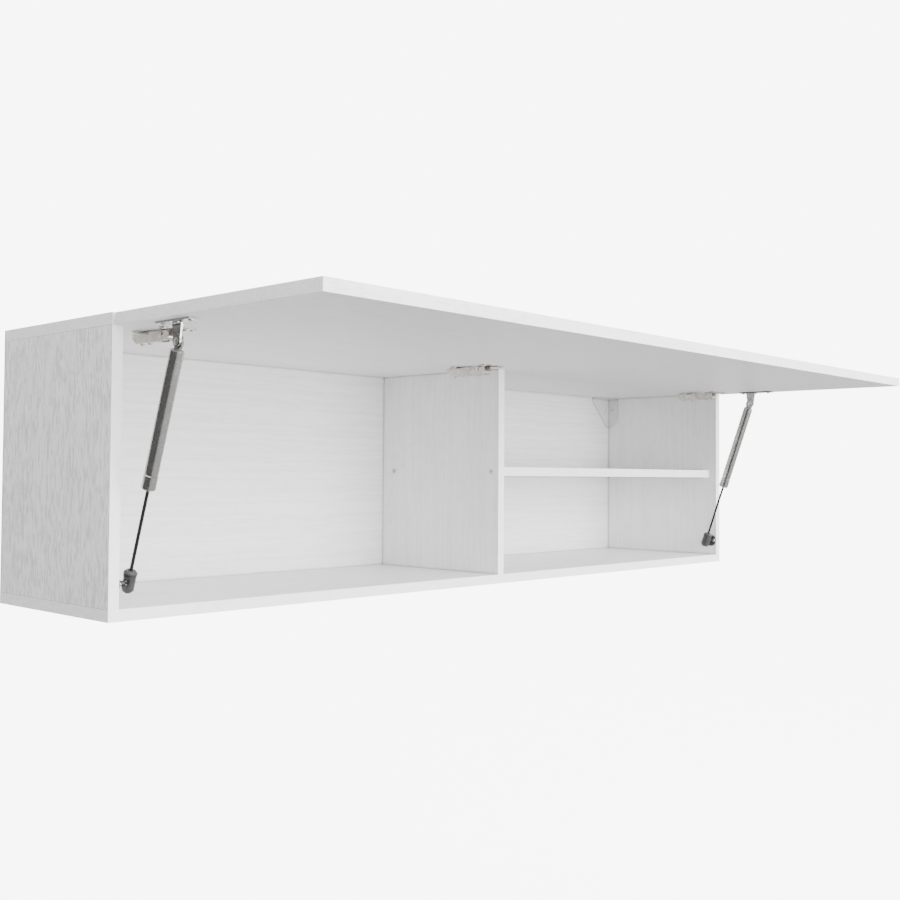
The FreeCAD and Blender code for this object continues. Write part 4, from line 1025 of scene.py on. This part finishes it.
WOOD_SCREW = PanHeadScrew("pan_head_screws", ZINC, "zinc_steel")
STUD_SCREW = PanHeadScrew(
    "stud_screws", MetalFinish("bright_zinc", (0.80, 0.80, 0.79), (0.66, 0.66, 0.66), 0.2), "zinc_steel")
ADJUSTER = PanHeadScrew(
    "adjusters", NICKEL, "zinc_steel", head=2.0, core=1.7, crest=0.3, pitch=0.9, recess=0.6, pointed=False)
BOARD_SCREW = BoardScrew("board_screws", ZINC, "zinc_steel")
CAP = DomedCap("caps", WHITE_CAP, "white_cap")
RIVET = DomedRivet("rivets", ZINC, "zinc_steel")


# ------------------------------------------------------------------------------------------- the cabinet

SIDES = ("left", "right")
HINGE_PLACES = ("left", "middle", "right")


@dataclass
class Carcass:
    """The boards, back, bands, dowels, screws and caps of the cabinet's box."""

    lengthwise: tuple[str, ...] = ("top_panel", "bottom_panel", "shelf")
    upright: tuple[str, ...] = ("left_side_panel", "right_side_panel", "centre_divider")
    hidden_steel: tuple[str, ...] = ("top_panel_screws", "bottom_panel_screws", "back_nails")

    def build(self) -> None:
        """Dress every board in the foil that its grain asks for, and set its screws and caps."""
        along_x, along_z, zinc = FOIL_ALONG_X.material(), FOIL_ALONG_Z.material(), ZINC.material()
        dressed = {self.lengthwise: along_x, self.upright: along_z, self.hidden_steel: zinc}
        for nodes, material in dressed.items():
            for node in nodes:
                dress(node, material)
        dress("back_panel", BACK_BOARD.material())
        dress("front_edge_bands", EDGE_BAND.material())
        dress("panel_dowels", BEECH.material())
        BOARD_SCREW.fit("shelf_screws", "carcass")
        CAP.fit("screw_caps", "carcass")


@dataclass
class Flap:
    """The flap's board and its bands."""

    def build(self) -> None:
        """Dress the flap."""
        dress("door_panel", FLAP_FOIL.material())
        dress("door_edge_bands", FLAP_BAND.material())


@dataclass
class CupHinges:
    """The three concealed hinges with their screws."""

    pieces: tuple[str, ...] = ("hinge_plate", "hinge_arm", "hinge_cup", "outer_link", "inner_link")

    def build(self) -> None:
        """Dress every piece of the hinges and set their screws."""
        nickel = NICKEL.material()
        for place in HINGE_PLACES:
            for piece in self.pieces:
                dress(f"{piece}_{place}", nickel)
        dress("hinge_arm_pins", nickel)
        WOOD_SCREW.fit("hinge_plate_screws", "carcass")
        WOOD_SCREW.fit("hinge_cup_screws", "flap")
        ADJUSTER.fit("hinge_adjusting_screws", "carcass")


@dataclass
class GasStruts:
    """The two gas struts with their brackets, stud plates, rivets and screws."""

    mouldings: tuple[str, ...] = ("strut_piston", "strut_socket", "stud_plate")

    @staticmethod
    def line(side: str) -> Barrel:
        """Find the middle line of one side's tube and rod from the joints that they move on.

        Args:
            side: left or right.

        Returns:
            The line.
        """
        joints = {joint["name"]: joint for joint in frame["joints"]}
        pivot, slide = joints[f"{side}_strut_pivot"], joints[f"{side}_strut_slide"]
        return Barrel(tuple(pivot["pos_m"]), tuple(slide["axis"]))

    def build(self) -> None:
        """Dress every piece of the struts and set their screws."""
        moulding, steel = BLACK_MOULDING.material(), BRACKET_STEEL.material()
        for side in SIDES:
            line = self.line(side)
            tube = replace(TUBE_PAINT, name=f"{TUBE_PAINT.name}_{side}", barrel=line).material()
            rod = replace(BLACK_ROD, name=f"{BLACK_ROD.name}_{side}", barrel=line).material()
            dress(f"strut_tube_{side}", tube)
            dress(f"strut_gland_{side}", tube)
            dress(f"strut_rod_{side}", rod)
            dress(f"strut_bracket_{side}", steel)
            dress(f"strut_ball_{side}", steel)
            for piece in self.mouldings:
                dress(f"{piece}_{side}", moulding)
        RIVET.fit("strut_rivets", "flap")
        WOOD_SCREW.fit("strut_bracket_screws", "flap")
        STUD_SCREW.fit("stud_plate_screws", "carcass")


@dataclass
class WallHangers:
    """The two brackets that hold the cabinet to the wall, with their screws."""

    def build(self) -> None:
        """Dress both brackets and set their screws."""
        painted = WHITE_STEEL.material()
        for side in SIDES:
            dress(f"hanging_bracket_{side}", painted)
        WOOD_SCREW.fit("hanging_bracket_screws", "carcass")


@dataclass
class Studio:
    """Floor, lights, cards and camera."""

    floor_level: float = -1.30
    floor_width: float = 200.0
    shading_card: tuple[float, float, float] = (-2.4, 0.4, 0.0)
    shading_spread: tuple[float, float] = (3.0, 2.8)
    mirrored_card: tuple[float, float, float] = (-3.2, 0.6, -1.0)
    mirrored_spread: tuple[float, float] = (10.4, 5.2)
    lamp_place: tuple[float, float, float] = (0.6, -3.6, 0.5)
    lamp_width: float = 3.0
    lamp_power: float = 270.0
    place: tuple[float, float, float] = (-1.5758, -1.5533, -0.1624)
    yaw: float = 45.43
    pitch: float = 1.75
    roll: float = 0.48
    lens: float = 44.74
    shift: tuple[float, float] = (0.0716, -0.0113)
    sky: float = 3.5
    underlight: float = 0.8
    backdrop: float = 8.0

    def build(self) -> None:
        """Set up everything around the cabinet."""
        upward, rightward = (0.0, 0.0, 1.0), (1.0, 0.0, 0.0)
        spread = (self.floor_width, self.floor_width)
        floor = self._sheet("floor", (0.0, 0.0, self.floor_level), upward, spread, FLOOR_PAINT)
        floor.visible_diffuse = floor.visible_glossy = False
        shade = self._sheet("shading_card", self.shading_card, rightward, self.shading_spread, CARD_BLACK)
        mirrored = self._sheet(
            "mirrored_card", self.mirrored_card, rightward, self.mirrored_spread, CARD_BLACK)
        mirrored.visible_diffuse = mirrored.visible_shadow = False
        for card in (shade, mirrored):
            card.visible_camera = False
        self._sky()
        self._lamp("front_light", self.lamp_place, self.lamp_width, self.lamp_power)
        self._camera()

    @staticmethod
    def _sheet(
        name: str, place: tuple[float, float, float], facing: tuple[float, float, float],
        spread: tuple[float, float], finish: SmoothFinish,
    ) -> bpy.types.Object:
        """A flat sheet of the studio.

        Args:
            name: the sheet's name.
            place: its middle.
            facing: the way it faces.
            spread: its size along its own two directions.
            finish: what it is finished with.

        Returns:
            The sheet.
        """
        builder = bmesh.new()
        bmesh.ops.create_grid(builder, x_segments=2, y_segments=2, size=0.5)
        bmesh.ops.scale(builder, vec=(spread[0], spread[1], 1.0), verts=builder.verts)
        mesh = bpy.data.meshes.new(name)
        builder.to_mesh(mesh)
        builder.free()
        mesh.materials.append(finish.material())
        sheet = bpy.data.objects.new(name, mesh)
        sheet.location = place
        sheet.rotation_euler = Vector(facing).to_track_quat("Z", "Y").to_euler()
        bpy.context.scene.collection.objects.link(sheet)
        return sheet

    def _sky(self) -> None:
        """White light from all round, weaker from below, behind a bright backdrop."""
        world = bpy.data.worlds.new("sky")
        world.use_nodes = True
        graph = Graph(world.node_tree)
        axes = graph.add("SeparateXYZ")
        graph.feed(axes, 0, graph.add("TexCoord").outputs["Generated"])
        above = graph.ramp(axes.outputs["Z"], -0.30, -0.04)
        added = graph.math("MULTIPLY", above, self.sky - self.underlight)
        strength = graph.math("ADD", self.underlight, added)
        seen = graph.add("LightPath").outputs["Is Camera Ray"]
        strength = graph.math("MAXIMUM", strength, graph.math("MULTIPLY", seen, self.backdrop))
        graph.feed(world.node_tree.nodes["Background"], "Color", WHITE)
        graph.feed(world.node_tree.nodes["Background"], "Strength", strength)
        bpy.context.scene.world = world

    @staticmethod
    def _lamp(name: str, place: tuple[float, float, float], width: float, power: float) -> None:
        """A soft square lamp that points at the cabinet.

        Args:
            name: the lamp's name.
            place: where it stands.
            width: its width.
            power: its power in watts.
        """
        lamp = bpy.data.lights.new(name, "AREA")
        lamp.shape, lamp.size, lamp.energy = "SQUARE", width, power
        holder = bpy.data.objects.new(name, lamp)
        holder.location = place
        aim = Vector((0.0, -0.3, -0.15)) - Vector(place)
        holder.rotation_euler = aim.to_track_quat("-Z", "Y").to_euler()
        bpy.context.scene.collection.objects.link(holder)

    def _camera(self) -> None:
        """The camera, where the photograph was taken from."""
        yaw, pitch, roll = (math.radians(angle) for angle in (self.yaw, self.pitch, self.roll))
        ahead = Vector((math.sin(yaw) * math.cos(pitch), math.cos(yaw) * math.cos(pitch), math.sin(pitch)))
        right = Vector((math.cos(yaw), -math.sin(yaw), 0.0))
        upward = right.cross(ahead)
        across = right * math.cos(roll) + upward * math.sin(roll)
        above = upward * math.cos(roll) - right * math.sin(roll)
        lens = bpy.data.cameras.new("camera")
        lens.lens, lens.sensor_width = self.lens, 36.0
        lens.shift_x, lens.shift_y = self.shift
        camera = bpy.data.objects.new("camera", lens)
        turn = Matrix((across, above, -ahead)).transposed().to_4x4()
        camera.matrix_world = Matrix.Translation(self.place) @ turn
        bpy.context.scene.collection.objects.link(camera)
        bpy.context.scene.camera = camera


def main() -> None:
    """Build the cabinet's looks and its surroundings in order."""
    logging.basicConfig(level=logging.INFO, format="%(name)s: %(message)s")
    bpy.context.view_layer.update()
    for part in (Carcass(), Flap(), CupHinges(), GasStruts(), WallHangers(), Studio()):
        log.info("building %s", type(part).__name__)
        part.build()


if __name__ == "__main__":
    main()
